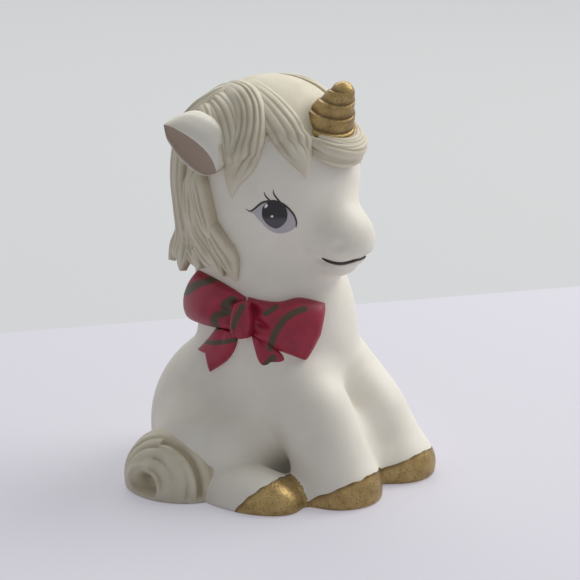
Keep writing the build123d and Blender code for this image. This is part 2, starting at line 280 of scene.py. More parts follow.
@dataclass(frozen=True)
class Column:
    """Level ellipses strung on a bent axis, as rows of (z, x, y, half x, half y)."""

    rows: tuple[tuple[float, float, float, float, float], ...]
    top_rounding: float = 4.0
    top_slope: float = 1.0

    def section(self, level: Array) -> tuple[Array, ...]:
        """The column's axis and half sizes at given heights, on a smooth curve.

        Args:
            level: heights over the floor.

        Returns:
            x, y, half x and half y at each height.
        """
        curve = spline(np.array(self.rows), np.linspace(0.0, 1.0, CURVE_STEPS))
        order = np.argsort(curve[:, 0])
        return tuple(np.interp(level, curve[order, 0], curve[order, k]) for k in (1, 2, 3, 4))

    def axis(self, level: Array) -> tuple[Array, Array]:
        """The axis's x and y at each height."""
        return self.section(level)[:2]

    def distance(self, points: Array) -> Array:
        """How far outside the column each point lies, measured level by level.

        Args:
            points: places in millimetres.

        Returns:
            One distance per point, negative inside.
        """
        x, y, half_x, half_y = self.section(points[..., 2])
        reach = np.sqrt(((points[..., 0] - x) / half_x) ** 2 + ((points[..., 1] - y) / half_y) ** 2)
        side = (reach - 1.0) * np.minimum(half_x, half_y)
        top = self.top_slope * (points[..., 2] - max(row[0] for row in self.rows))
        return soft_max(side, top, self.top_rounding)


Form = Ball | Limb | Column
Forms = tuple[tuple[Form, float], ...]


def union(points: Array, forms: Forms) -> Array:
    """The smooth union of forms.

    Args:
        points: places in millimetres.
        forms: the forms, each with the width of its blend with those before it.

    Returns:
        One distance per point, negative inside.
    """
    total = forms[0][0].distance(points)
    for form, width in forms[1:]:
        total = soft_min(total, form.distance(points), width)
    return total


HEAD = (0.0, 0.0, 71.5)
HORN_FOOT = (0.0, -16.0, 84.5)


def at_head(x: float, y: float, z: float) -> Triple:
    """A place given from the middle of the head."""
    return (HEAD[0] + x, HEAD[1] + y, HEAD[2] + z)


@dataclass(frozen=True)
class Mouth:
    """The groove of the mouth, which dips beside the middle and rises at the corners."""

    height: float = 55.1
    dip: float = 0.95
    dip_side: float = 4.7
    dip_half_width: float = 1.7
    corner_side: float = 5.6
    corner_rise: float = 0.22
    half_height: float = 0.75
    depth: float = 0.75
    starts_forward: Span = (14.0, 17.5)
    ends_sideways: Span = (6.6, 8.6)

    def cut(self, points: Array) -> Array:
        """How deep the groove is pressed into the face.

        Its line is level but for a bell-shaped dip beside the middle and a straight rise
        outside it, and its section is a bell curve about that line.

        Args:
            points: places in millimetres.

        Returns:
            One depth per point.
        """
        side = np.abs(points[..., 0])
        line = self.height - self.dip * bell(side - self.dip_side, self.dip_half_width)
        line = line + self.corner_rise * np.maximum(side - self.corner_side, 0.0)
        front = smooth_step(-points[..., 1], *self.starts_forward)
        return (self.depth * bell(points[..., 2] - line, self.half_height) * front
                * fade_out(side, *self.ends_sideways))


@dataclass(frozen=True)
class GoldLine:
    """The plane in which a foot's gold ends: its tilt in degrees and its level along its normal."""

    tilt: float
    level: float

    def normal(self) -> Array:
        """The direction square to the plane, to the back and up."""
        return np.array((0.0, np.sin(np.radians(self.tilt)), np.cos(np.radians(self.tilt))))


@dataclass(frozen=True)
class Casting:
    """The porcelain casting's common skin, as a distance in millimetres."""

    trunk: Forms = (
        (Ball((0, 9, 9.5), (23, 23, 24)), 1.0),
        (Ball((0, -3, 32), (17.5, 17, 20)), 10.0),
        (Limb((0, 1.5, 44), (0, 3, 58), 17, 17.5), 8.0),
        (Ball((2.0, -17, 5), (4.5, 9.5, 12)), 3.0),
    )
    haunch: Ball = Ball((15, 5, 9), (15.5, 15, 13))
    haunch_blend: float = 4.0
    hind_foot: Ball = Ball((23.5, -9, 1), (8.3, 14.6, 7.6))
    far_side_slope: float = 2.0
    right_leg: Column = Column((
        (46, -8.2, -2.5, 4.6, 6), (35, -9, -6.5, 7, 8), (30, -9.3, -9.8, 8.2, 9.8),
        (22.7, -9, -15.3, 8.8, 10.6), (12.9, -9, -20.6, 9.0, 10.0), (5.3, -9, -24.1, 9.4, 9.8),
        (0, -8.8, -25, 9.6, 9.4),
    ), top_slope=0.45)
    right_foot: Ball = Ball((-8.7, -25, 2.6), (9.4, 9.2, 7.4))
    left_leg: Column = Column((
        (44, 8.2, -1.5, 4.6, 6), (33, 10, -5, 7, 8), (28, 10.8, -8.5, 8.4, 10),
        (19.4, 12, -15.4, 9.0, 10.6), (14.4, 12.4, -18.4, 9.2, 10.6), (8.6, 12.8, -22, 9.3, 10.2),
        (0, 12.8, -24.6, 9.7, 10),
    ), top_slope=0.45)
    left_foot: Ball = Ball((12.6, -26, 2.8), (9.8, 10, 7.4))
    fetlock_blend: float = 2.5
    skull: Forms = (
        (Ball(HEAD, (20, 20, 22.5)), 0.0),
        (Limb(at_head(0, -9, -8), at_head(0, -17.5, -12), 12, 7.5), 6.0),
        (Ball(at_head(0, -20, -13), (7, 6, 5.6)), 4.0),
        (Ball(at_head(0, -14.5, -18.7), (5.5, 6.5, 3.6)), 2.0),
        (Ball(at_head(0, -18.2, -19.2), (4.4, 3.8, 2.1)), 1.2),
    )
    nostril: Triple = at_head(6.9, -23.2, -12.6)
    nostril_size: float = 1.15
    nostril_depth: float = 0.75
    mouth: Mouth = Mouth()
    blends: tuple[float, ...] = (0.0, 1.6, 1.6, 5.0, 5.0, 3.0)
    foot_rounding: float = 0.8
    gold_lines: dict[Part, GoldLine] = field(default_factory=lambda: {
        Part.RIGHT_HIND: GoldLine(47.0, -8.3), Part.LEFT_HIND: GoldLine(47.0, -8.3),
        Part.RIGHT_FORE: GoldLine(27.0, -9.0), Part.LEFT_FORE: GoldLine(27.0, -9.7),
    })
    gold_recess: float = 0.3
    gold_margin: Span = (0.3, 0.6)

    def parts(self, points: Array) -> Array:
        """The distance to each sub-part's own form.

        Args:
            points: places in millimetres.

        Returns:
            One row of distances per sub-part, in the order of Part.
        """
        folded = mirrored(points)
        trunk = soft_min(union(points, self.trunk), self.haunch.distance(folded), self.haunch_blend)
        hind = self.hind_foot.distance(folded)
        left = points[..., 0] > 0
        far = np.abs(points[..., 0]) * self.far_side_slope
        return np.stack([
            trunk,
            np.where(left, hind + far, hind),
            np.where(left, hind, hind + far),
            soft_min(self.right_leg.distance(points), self.right_foot.distance(points), self.fetlock_blend),
            soft_min(self.left_leg.distance(points), self.left_foot.distance(points), self.fetlock_blend),
            self.face(points),
        ])

    def face(self, points: Array) -> Array:
        """The head, with its nostrils pressed in as bell curves and its mouth cut.

        Args:
            points: places in millimetres.

        Returns:
            One distance per point, negative inside.
        """
        dimple = ((mirrored(points) - np.array(self.nostril)) ** 2).sum(-1) / self.nostril_size**2
        return union(points, self.skull) + self.nostril_depth * np.exp(-dimple) + self.mouth.cut(points)

    def joined(self, parts: Array, points: Array) -> Array:
        """The smooth union of the sub-parts, cut off level with the floor.

        Args:
            parts: the sub-parts' distances, as parts() gives them.
            points: the places that they belong to.

        Returns:
            One distance per point, negative inside.
        """
        total = parts[0]
        for row, width in zip(parts[1:], self.blends[1:]):
            total = soft_min(total, row, width)
        return soft_max(total, -points[..., 2], self.foot_rounding)

    def distance(self, points: Array) -> Array:
        """How far outside the whole casting each point lies."""
        return self.joined(self.parts(points), points)

    def skin_of(self, part: Part, overlap: float = 0.6, bare: bool = False) -> Distance:
        """The field of one sub-part: the common skin, then its own form under a neighbour's.

        Args:
            part: the sub-part.
            overlap: how far past the meeting line it still follows the common skin.
            bare: whether it draws back a little where gold covers it.

        Returns:
            A function from points to distances.
        """
        def field_of(points: Array) -> Array:
            """The sub-part's distance.

            Args:
                points: places in millimetres.

            Returns:
                One distance per point, negative inside.
            """
            parts = self.parts(points)
            others = np.delete(parts, int(part), axis=0).min(axis=0)
            skin = self.joined(parts, points) + np.maximum(parts[part] - others - overlap, 0.0)
            if bare and part in self.gold_lines:
                line = self.gold_lines[part]
                below = line.level - points @ line.normal()
                skin = skin + self.gold_recess * smooth_step(below, *self.gold_margin)
            return skin
        return field_of


CASTING = Casting()


def slope(distance: Distance, points: Array) -> Array:
    """The direction in which a distance grows, from its differences along the axes."""
    rise = [distance(points + PROBE * axis) - distance(points - PROBE * axis) for axis in np.eye(3)]
    return unit(np.stack(rise, axis=-1))


def cast(distance: Distance, origins: Array, directions: Array, reach: float) -> Array:
    """Where rays from inside a form leave it, found by halving the interval.

    Args:
        distance: the form, negative inside.
        origins: where the rays start; one place may serve them all.
        directions: unit directions, one per ray.
        reach: a length that is outside for every ray.

    Returns:
        The points on the surface.
    """
    near = np.zeros(directions.shape[:-1])
    far = np.full(directions.shape[:-1], reach)
    for _ in range(HALVINGS):
        middle = 0.5 * (near + far)
        inside = distance(origins + directions * middle[..., None]) < TOUCH
        near = np.where(inside, middle, near)
        far = np.where(inside, far, middle)
    return origins + directions * (0.5 * (near + far))[..., None]


def settle(distance: Distance, points: Array, steps: int = 4) -> tuple[Array, Array]:
    """Moves points on to a surface along its slope, by the distance that is left at each step.

    Args:
        distance: the surface's field.
        points: places near it.
        steps: how many steps.

    Returns:
        The points and the outward normals there.
    """
    for _ in range(steps):
        points = points - slope(distance, points) * distance(points)[..., None]
    return points, slope(distance, points)


def globe(rows: int, columns: int) -> Array:
    """Unit directions over a sphere, ring by ring from straight up to straight down.

    Args:
        rows: the number of rings.
        columns: the number of directions in a ring.

    Returns:
        The directions, as rows by columns by 3.
    """
    count = grain(rows)
    polar = ((np.arange(count) + 0.5) * np.pi / count)[:, None]
    angle = spokes(columns)
    return np.stack(np.broadcast_arrays(
        np.sin(polar) * np.sin(angle), -np.sin(polar) * np.cos(angle), np.cos(polar)), axis=-1)


def linear(code: str) -> tuple[float, float, float, float]:
    """A colour written as sRGB hex, in Blender's linear light with an alpha of 1.

    Args:
        code: the colour, such as #A3223D.

    Returns:
        Red, green, blue and alpha.
    """
    share = np.array([int(code[k:k + 2], 16) for k in (1, 3, 5)]) / 255.0
    light = np.where(share <= 0.04045, share / 12.92, ((share + 0.055) / 1.055) ** 2.4)
    return (*light.tolist(), 1.0)


def add_node(tree: bpy.types.NodeTree, kind: str, settings: dict | None = None,
             **links: object) -> bpy.types.Node:
    """Adds one node with its settings and what feeds it.

    Args:
        tree: the node tree.
        kind: the node's type name.
        settings: properties of the node by name.
        links: a value or an output socket for each input. An underscore stands for a
            space, and in0, in1 and so on are inputs by number.

    Returns:
        The new node.
    """
    made = tree.nodes.new(kind)
    for key, value in (settings or {}).items():
        setattr(made, key, value)
    for key, value in links.items():
        numbered = key[:2] == "in" and key[2:].isdigit()
        socket = made.inputs[int(key[2:])] if numbered else made.inputs[key.replace("_", " ")]
        if isinstance(value, bpy.types.NodeSocket):
            tree.links.new(value, socket)
        else:
            socket.default_value = value
    return made


@dataclass(frozen=True)
class Finish:
    """A surface finish: two mottled tints, a second colour where an attribute says, and a fine grain.

    Sizes are in millimetres; the Object coordinates that carry them are in metres. Each
    range is the stretch of a noise or an attribute that is drawn out to 0 and 1.
    """

    name: str
    slot: Slot
    tint: str
    mottle: str
    roughness: float
    mottle_mm: float = 7.0
    mottle_range: Span = (0.35, 0.7)
    # A second colour where an attribute says, such as painted bands on the bow and painted shade in the
    # hair's and horn's grooves.
    stain: str = "#000000"
    overlay_attribute: str = ""
    overlay_range: Span = (0.0, 1.0)
    overlay_share: float = 1.0
    metallic: float = 0.0
    grain_mm: float = 0.35
    grain_range: Span = (0.3, 0.7)
    grain_height_mm: float = 0.012
    speck: str = ""
    speck_mm: float = 0.5
    speck_range: Span = (0.56, 0.66)
    noise_detail: float = 2.0

    def mixed(self, tree: bpy.types.NodeTree, factor: bpy.types.NodeSocket,
              first: bpy.types.NodeSocket | tuple[float, ...], second: str) -> bpy.types.NodeSocket:
        """One colour turning into another.

        Args:
            tree: the material's nodes.
            factor: 0 for the first colour, 1 for the second.
            first: the first colour, as a socket or in linear light.
            second: the second colour, as sRGB hex.

        Returns:
            The mixed colour.
        """
        node = add_node(tree, "ShaderNodeMix", {"data_type": "RGBA"},
                        in0=factor, in6=first, in7=linear(second))
        return node.outputs[2]

    def spots(self, tree: bpy.types.NodeTree, place: bpy.types.NodeSocket, size_mm: float,
              limits: Span) -> bpy.types.NodeSocket:
        """Noise with lumps of a real size.

        Args:
            tree: the material's nodes.
            place: the Object coordinates.
            size_mm: the size of a lump.
            limits: the noise's values that become 0 and 1.

        Returns:
            The stretched noise.
        """
        noise = add_node(tree, "ShaderNodeTexNoise", None, Vector=place,
                         Scale=1.0 / (size_mm * METRES), Detail=self.noise_detail)
        ramp = add_node(tree, "ShaderNodeMapRange", None, Value=noise.outputs[0],
                        in1=limits[0], in2=limits[1])
        return ramp.outputs[0]

    def painted(self, tree: bpy.types.NodeTree) -> bpy.types.NodeSocket:
        """How much of the second colour each place takes, read from the mesh's attribute.

        Args:
            tree: the material's nodes.

        Returns:
            The stain's share.
        """
        source = add_node(tree, "ShaderNodeAttribute", {"attribute_name": self.overlay_attribute})
        low, high = self.overlay_range
        ramp = add_node(tree, "ShaderNodeMapRange", None, Value=source.outputs["Fac"],
                        in1=low, in2=high, in4=self.overlay_share)
        return ramp.outputs[0]

    def make(self) -> bpy.types.Material:
        """Makes the finish a material: mottle, specks, the second colour and then the grain as bump.

        Returns:
            The new material.
        """
        material = bpy.data.materials.new(self.name)
        material.use_nodes = True
        tree = material.node_tree
        shader = tree.nodes["Principled BSDF"]
        shader.inputs["Roughness"].default_value = self.roughness
        shader.inputs["Metallic"].default_value = self.metallic
        place = add_node(tree, "ShaderNodeTexCoord").outputs["Object"]
        cloud = self.spots(tree, place, self.mottle_mm, self.mottle_range)
        colour = self.mixed(tree, cloud, linear(self.tint), self.mottle)
        if self.speck:
            specks = self.spots(tree, place, self.speck_mm, self.speck_range)
            colour = self.mixed(tree, specks, colour, self.speck)
        if self.overlay_attribute:
            colour = self.mixed(tree, self.painted(tree), colour, self.stain)
        tree.links.new(colour, shader.inputs["Base Color"])
        if self.grain_height_mm:
            grains = self.spots(tree, place, self.grain_mm, self.grain_range)
            bump = add_node(tree, "ShaderNodeBump", None, Strength=1.0,
                            Distance=self.grain_height_mm * METRES, Height=grains)
            tree.links.new(bump.outputs[0], shader.inputs["Normal"])
        return material

    def material(self) -> bpy.types.Material:
        """The finish's material, made when a piece first asks for it."""
        return bpy.data.materials.get(self.name) or self.make()


# Unglazed bisque porcelain, cast and sponged smooth: matt, warm white and faintly mottled. Its real
# grain of about 0.05 mm wouldn't show, so it is drawn at 0.35 mm. Painted shade greys it round the horn's
# foot.
BISQUE = Finish("bisque_porcelain", Slot.BISQUE, "#EEEADE", "#E9E4D7", 0.5,
                stain="#B3A2A4", overlay_attribute="blush", overlay_share=0.3)
# The same porcelain, greyish pink and darker inside the ears' hollows.
EAR_HOLLOW_TINT = Finish("bisque_greyish_pink_in_hollows", Slot.BISQUE, "#EEEADE", "#E6E1D2", 0.5,
                  stain="#A58F7F", overlay_attribute="hollow", overlay_range=(0.2, 0.9), overlay_share=0.9)
# Bisque stained cream for the hair. Painted shade darkens the carved grooves, the locks' edges,
# the tail's hollow and the cap round the horn's foot.
CREAM = Finish("cream_stained_bisque", Slot.HAIR, "#DDD6C2", "#D2C9B2", 0.55, mottle_mm=5.0,
               stain="#A39678", overlay_attribute="groove", overlay_share=0.7)
# Antique gold lustre brushed over porcelain: a soft, rubbed metal and specked. Painted shade darkens
# the horn's grooves, and on the feet the gold darkens towards its edge.
# The specks are the brush's own misses, drawn a little coarser than they are.
GOLD = Finish("antique_gold_lustre", Slot.GILT, "#B09664", "#927A4E", 0.38, mottle_mm=2.5,
              stain="#43301C", overlay_attribute="groove", overlay_share=0.7, metallic=0.75,
              grain_mm=0.5, grain_height_mm=0.03, speck="#6E5736", speck_mm=0.4, speck_range=(0.55, 0.75))
# Matt crimson enamel with olive brown bands painted over it.
ENAMEL = Finish("crimson_enamel", Slot.BOW, "#A3223D", "#8F1D35", 0.46, mottle_mm=3.0,
                stain="#4B3A28", overlay_attribute="band", overlay_range=(0.44, 0.56))
# Flat brushed-on paints of the face: smooth, so they have no grain.
EYE_WHITE = Finish("lavender_grey_paint", Slot.BISQUE, "#BDB9BC", "#B2AEB3", 0.4, grain_height_mm=0.0)
EYE_BLACK = Finish("black_paint", Slot.BISQUE, "#131215", "#1B1A1E", 0.25, grain_height_mm=0.0,
                   stain="#4A484C", overlay_attribute="lower")
EYE_LIGHT = Finish("white_paint", Slot.BISQUE, "#F2F1F0", "#E9E8E8", 0.35, grain_height_mm=0.0)
FACE_LINE = Finish("brown_black_paint", Slot.BISQUE, "#2A221E", "#342A24", 0.45, grain_height_mm=0.0)


@dataclass
class Skin:
    """A closed tube: rings of points with a pole at each end."""

    rings: Array
    normals: Array | None = None
    values: dict[str, Array] = field(default_factory=dict)

    def poles(self, table: Array) -> Array:
        """The rows of a table in vertex order, with the first and last ring's means added."""
        flat = table.reshape(-1, *table.shape[2:])
        return np.concatenate([flat, table[:1].mean(axis=1), table[-1:].mean(axis=1)])

    def faces(self) -> tuple[Array, Array]:
        """The faces as vertex numbers, turned so that they look outward.

        Returns:
            The quads between the rings and the triangles to the two poles.
        """
        rows, columns = self.rings.shape[:2]
        number = np.arange(rows * columns).reshape(rows, columns)
        after = np.roll(number, -1, axis=1)
        quads = np.stack([number[:-1], after[:-1], after[1:], number[1:]], axis=-1).reshape(-1, 4)
        first, last = rows * columns, rows * columns + 1
        start = np.stack([after[0], number[0], np.full(columns, first)], axis=-1)
        end = np.stack([number[-1], after[-1], np.full(columns, last)], axis=-1)
        triangles = np.concatenate([start, end])
        if self.encloses(np.concatenate([quads[:, [0, 1, 2]], quads[:, [0, 2, 3]], triangles])) < 0:
            quads, triangles = quads[:, ::-1], triangles[:, ::-1]
        return quads, triangles

    def encloses(self, triangles: Array) -> float:
        """Six times the volume that triangles of its points enclose, positive if they look outward."""
        a, b, c = np.moveaxis((self.poles(self.rings) - self.rings.mean(axis=(0, 1)))[triangles], 1, 0)
        return float((a * np.cross(b, c)).sum())

    def mirrored(self) -> Skin:
        """The same tube on the animal's other side.

        Returns:
            A tube that is wound the other way, so that it still looks outward.
        """
        normals = None if self.normals is None else self.normals[:, ::-1] * OTHER_SIDE
        values = {key: table[:, ::-1] for key, table in self.values.items()}
        return Skin(self.rings[:, ::-1] * OTHER_SIDE, normals, values)


def both_sides(skins: Sequence[Skin]) -> list[Skin]:
    """Tubes on the animal's right, and then the same tubes on its left."""
    return [*skins, *[skin.mirrored() for skin in skins]]


def make_mesh(name: str, skins: Sequence[Skin]) -> bpy.types.Mesh:
    """Puts closed tubes into one smooth mesh, with their values as point attributes.

    Args:
        name: the mesh's name.
        skins: the tubes, in millimetres.

    Returns:
        The new mesh, in metres.
    """
    places, loops, totals, base = [], [], [], 0
    for skin in skins:
        place = skin.poles(skin.rings)
        quads, triangles = skin.faces()
        places.append(place)
        loops.append(np.concatenate([quads.ravel(), triangles.ravel()]) + base)
        totals.append(np.concatenate([np.full(len(quads), 4), np.full(len(triangles), 3)]))
        base += len(place)
    total = np.concatenate(totals)
    loop = np.concatenate(loops)
    mesh = bpy.data.meshes.new(name)
    mesh.vertices.add(base)
    mesh.vertices.foreach_set("co", (np.concatenate(places) * METRES).astype(np.float32).ravel())
    mesh.loops.add(len(loop))
    mesh.loops.foreach_set("vertex_index", loop.astype(np.int32))
    mesh.polygons.add(len(total))
    mesh.polygons.foreach_set("loop_start", (np.cumsum(total) - total).astype(np.int32))
    mesh.polygons.foreach_set("loop_total", total.astype(np.int32))
    mesh.update(calc_edges=True)
    mesh.polygons.foreach_set("use_smooth", np.ones(len(total), bool))
    for key in sorted({key for skin in skins for key in skin.values}):
        rows = [skin.poles(skin.values.get(key, np.zeros(skin.rings.shape[:2]))) for skin in skins]
        attribute = mesh.attributes.new(key, "FLOAT", "POINT")
        attribute.data.foreach_set("value", np.concatenate(rows).astype(np.float32))
    if all(skin.normals is not None for skin in skins):
        normals = np.concatenate([unit(skin.poles(skin.normals)) for skin in skins])
        mesh.normals_split_custom_set_from_vertices(normals.tolist())
    return mesh


def make_piece(name: str, skins: Sequence[Skin], finish: Finish, *nodes: str) -> None:
    """Makes one piece that rides on the only body and reports it.

    Args:
        name: the piece's name.
        skins: its tubes, in millimetres.
        finish: its finish, whose material the piece takes.
        nodes: the CAD nodes that the piece stands for.
    """
    mesh = make_mesh(name, skins)
    mesh.materials.append(finish.material())
    piece = bpy.data.objects.new(name, mesh)
    bpy.context.scene.collection.objects.link(piece)
    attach(piece, BODY)
    if nodes:
        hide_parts(*nodes)
    LOG.info("%s: %d points, %d faces", name, len(mesh.vertices), len(mesh.polygons))


@dataclass(frozen=True)
class PhotoView:
    """The photograph's own view: from the animal's front right, a little from above.

    A line of sight is walked from walk_margin before the target, in steps of walk_share
    times the distance left, which counts as walk_most at most.
    """

    azimuth: float = -54.0
    elevation: float = 15.0
    distance: float = 450.0
    aim_along: float = 3.6
    aim_height: float = 43.5
    pixels_per_mm: float = 4.22
    picture: float = 580.0
    sensor: float = 36.0
    nearest_seen: float = 10.0
    farthest_seen: float = 20000.0
    walk_margin: float = 70.0
    walk_steps: int = 70
    walk_share: float = 0.8
    walk_most: float = 4.0

    def axes(self) -> tuple[Array, Array, Array, Array]:
        """The camera in the object's frame.

        Returns:
            The eye's place, and the directions to the picture's right, up and back.
        """
        turn, lift = np.radians(self.azimuth), np.radians(self.elevation)
        right = np.array((np.cos(turn), np.sin(turn), 0.0))
        back = np.array((np.sin(turn) * np.cos(lift), -np.cos(turn) * np.cos(lift), np.sin(lift)))
        target = right * self.aim_along + np.array((0.0, 0.0, self.aim_height))
        return target + back * self.distance, right, np.cross(back, right), back

    def rays(self, pixels: Sequence[Pixel]) -> Array:
        """The directions of the lines of sight through pixels, counted from the top left.

        Args:
            pixels: places in the photograph.

        Returns:
            One unit direction per pixel.
        """
        _, right, up, back = self.axes()
        across = np.asarray(pixels, float) - self.picture / 2
        focal = self.pixels_per_mm * self.distance
        return unit(-back * focal + across[:, :1] * right - across[:, 1:] * up)

    def onto(self, pixels: Sequence[Pixel], distance: Distance) -> Array:
        """Where the lines of sight through pixels meet a surface.

        The nearest place on each walk is kept and then settled on the surface, so a pixel
        just past the outline lands on the outline.

        Args:
            pixels: places in the photograph.
            distance: the surface's field.

        Returns:
            One point per pixel, in millimetres.
        """
        eye, ray = self.axes()[0], self.rays(pixels)
        gone = np.full(len(ray), self.distance - self.walk_margin)
        best, nearest = gone.copy(), np.full(len(ray), np.inf)
        for _ in range(self.walk_steps):
            left = distance(eye + ray * gone[:, None])
            best = np.where(left < nearest, gone, best)
            nearest = np.minimum(nearest, left)
            gone = gone + np.clip(left, 0.0, self.walk_most) * self.walk_share
        return settle(distance, eye + ray * best[:, None])[0]

    def make_camera(self) -> None:
        """Puts the scene's camera at the photograph's place."""
        eye, _, _, back = self.axes()
        camera = bpy.data.objects.new("camera", bpy.data.cameras.new("camera"))
        camera.data.sensor_width = self.sensor
        camera.data.lens = self.sensor * self.pixels_per_mm * self.distance / self.picture
        camera.data.clip_start = self.nearest_seen * METRES
        camera.data.clip_end = self.farthest_seen * METRES
        camera.location = Vector(eye * METRES)
        camera.rotation_mode = "QUATERNION"
        camera.rotation_quaternion = Vector(-back).to_track_quat("-Z", "Y")
        bpy.context.scene.collection.objects.link(camera)
        bpy.context.scene.camera = camera


PHOTO = PhotoView()


def cast_grid(pixels: Array, bed: Distance) -> tuple[Array, Array]:
    """Lays a grid of pixels on a surface.

    Args:
        pixels: the grid, rows by columns by 2.
        bed: the surface's field.

    Returns:
        The places and the outward normals there, both rows by columns by 3.
    """
    ground = PHOTO.onto(pixels.reshape(-1, 2), bed).reshape(*pixels.shape[:2], 3)
    return ground, slope(bed, ground)


@dataclass
class LevelSkin:
    """A standing form's skin, ray by level ray from an upright axis that may bend."""

    part: Part
    top: float
    axis: Callable[[Array], tuple[Array, Array]]
    reach: float = 45.0
    rows: int = 130
    columns: int = 200
    crowding: float = 0.75
    base_rings: int = 8
    vent_radius: float = 0.0
    vent_depth: float = 0.0

    def base(self, foot: Array, middle: Array, directions: Array) -> Array:
        """The rings of the flat base, from its middle, or from inside the vent, to the foot.

        Args:
            foot: the side's lowest ring.
            middle: the axis's place at the floor, once per column.
            directions: the level directions of the columns.

        Returns:
            The rings, without the foot itself.
        """
        share = np.linspace(0.0, 1.0, self.base_rings, endpoint=False)[1:, None, None]
        if not self.vent_radius:
            return middle + (foot - middle) * share
        rim = middle + directions * self.vent_radius
        deep = rim + np.array((0.0, 0.0, self.vent_depth))
        return np.concatenate([[deep, rim], rim + (foot - rim) * share])

    def build(self) -> Skin:
        """The skin: a flat base, rays at levels that crowd towards the floor, and a closed top.

        Returns:
            The tube, from the middle of the base up.
        """
        share = np.linspace(0.0, 1.0, grain(self.rows))
        level = self.top * ((1.0 - self.crowding) * share + self.crowding * share**2)
        angle = spokes(self.columns)
        x, y = self.axis(level)
        origins = np.stack(np.broadcast_arrays(x[:, None], y[:, None], level[:, None] + angle * 0), axis=-1)
        directions = np.stack([np.cos(angle), np.sin(angle), angle * 0], axis=-1) + origins * 0
        side = cast(CASTING.skin_of(self.part, bare=True), origins, directions, self.reach)
        base = self.base(side[0], origins[0], directions[0])
        down = np.zeros_like(base) + np.array((0.0, 0.0, -1.0))
        return Skin(np.concatenate([base, side]), np.concatenate([down, slope(CASTING.distance, side)]))


@dataclass
class RoundSkin:
    """A round form's skin, ray by ray from its middle. Painted shade fades out round the horn's foot."""

    part: Part
    centre: Triple
    reach: float = 40.0
    rows: int = 150
    columns: int = 240
    # Where the painted shade round the horn's foot fades out, in millimetres from it.
    blush: Span = (8.0, 13.0)

    def build(self) -> Skin:
        """Rays over a globe of directions, closed by a pole at each end."""
        side = cast(CASTING.skin_of(self.part, bare=True), np.array(self.centre),
                    globe(self.rows, self.columns), self.reach)
        # Painted shade, purplish grey, round the horn's foot.
        return Skin(side, slope(CASTING.distance, side),
                    {"blush": fade_out(away_from(side, HORN_FOOT), *self.blush)})


@dataclass
class Porcelain:
    """The bare pieces of the casting: body, head, fore legs and hind feet."""

    body_top: float = 58.0
    haunch_axis: float = 6.0
    neck_shift: float = 5.0
    neck_levels: Span = (20.0, 45.0)
    vent_radius: float = 3.0
    vent_depth: float = 3.5
    skull_middle: Triple = at_head(0, -2, -2)
    right_leg_top: float = 38.0
    left_leg_top: float = 36.5
    limb_reach: float = 24.0
    limb_columns: int = 120
    hind_middle: Triple = (23.5, -9.0, 1.5)
    hind_rows: int = 110

    def spine(self, level: Array) -> tuple[Array, Array]:
        """The body's upright axis, which steps forward from the haunches to the neck."""
        return level * 0, self.haunch_axis - smooth_step(level, *self.neck_levels) * self.neck_shift

    def dress(self) -> None:
        """Builds the body, the head and then the limbs of each side."""
        body = LevelSkin(Part.TRUNK, self.body_top, self.spine,
                         vent_radius=self.vent_radius, vent_depth=self.vent_depth)
        make_piece("body_skin", [body.build()], BISQUE, "body_shell")
        make_piece("head_skin", [RoundSkin(Part.SKULL, self.skull_middle).build()], BISQUE, "head_shell")
        x, y, z = self.hind_middle
        for side, fore, column, top, hind, middle in (
            ("right", Part.RIGHT_FORE, CASTING.right_leg, self.right_leg_top, Part.RIGHT_HIND, (-x, y, z)),
            ("left", Part.LEFT_FORE, CASTING.left_leg, self.left_leg_top, Part.LEFT_HIND, (x, y, z)),
        ):
            leg = LevelSkin(fore, top, column.axis, reach=self.limb_reach, columns=self.limb_columns)
            make_piece(f"{side}_fore_leg_skin", [leg.build()], BISQUE, f"{side}_foreleg")
            foot = RoundSkin(hind, middle, self.limb_reach, self.hind_rows, self.limb_columns)
            make_piece(f"{side}_hind_foot_skin", [foot.build()], BISQUE, f"{side}_hind_foot")


def quarter_round(share: Array) -> Array:
    """0 at 0, 1 from 1 on, and a quarter of a circle between them, upright where it starts."""
    return np.sqrt(np.clip(1.0 - (1.0 - share).clip(0.0) ** 2, 0.0, 1.0))


def pillow(ground: Array, up: Array, height: Array, depth: Array | float, back: int,
           values: dict[str, Array]) -> Skin:
    """A patch laid on a surface, with a top that stands over it and a hidden back under it.

    Args:
        ground: the patch on the surface, rows by columns by 3.
        up: the outward normals there.
        height: how far the top stands over each place.
        depth: how far the back lies below.
        back: about how many columns the back has.
        values: what the places of the patch carry for the finish.

    Returns:
        The tube, whose rings run over the top and back below it.
    """
    below = slice(-2, 0, -max(1, ground.shape[1] // back))
    top = ground + up * height[..., None]
    under = ground[:, below] - up[:, below] * depth
    carried = {key: np.concatenate([table, table[:, below]], axis=1) for key, table in values.items()}
    return Skin(np.concatenate([top, under], axis=1), values=carried)


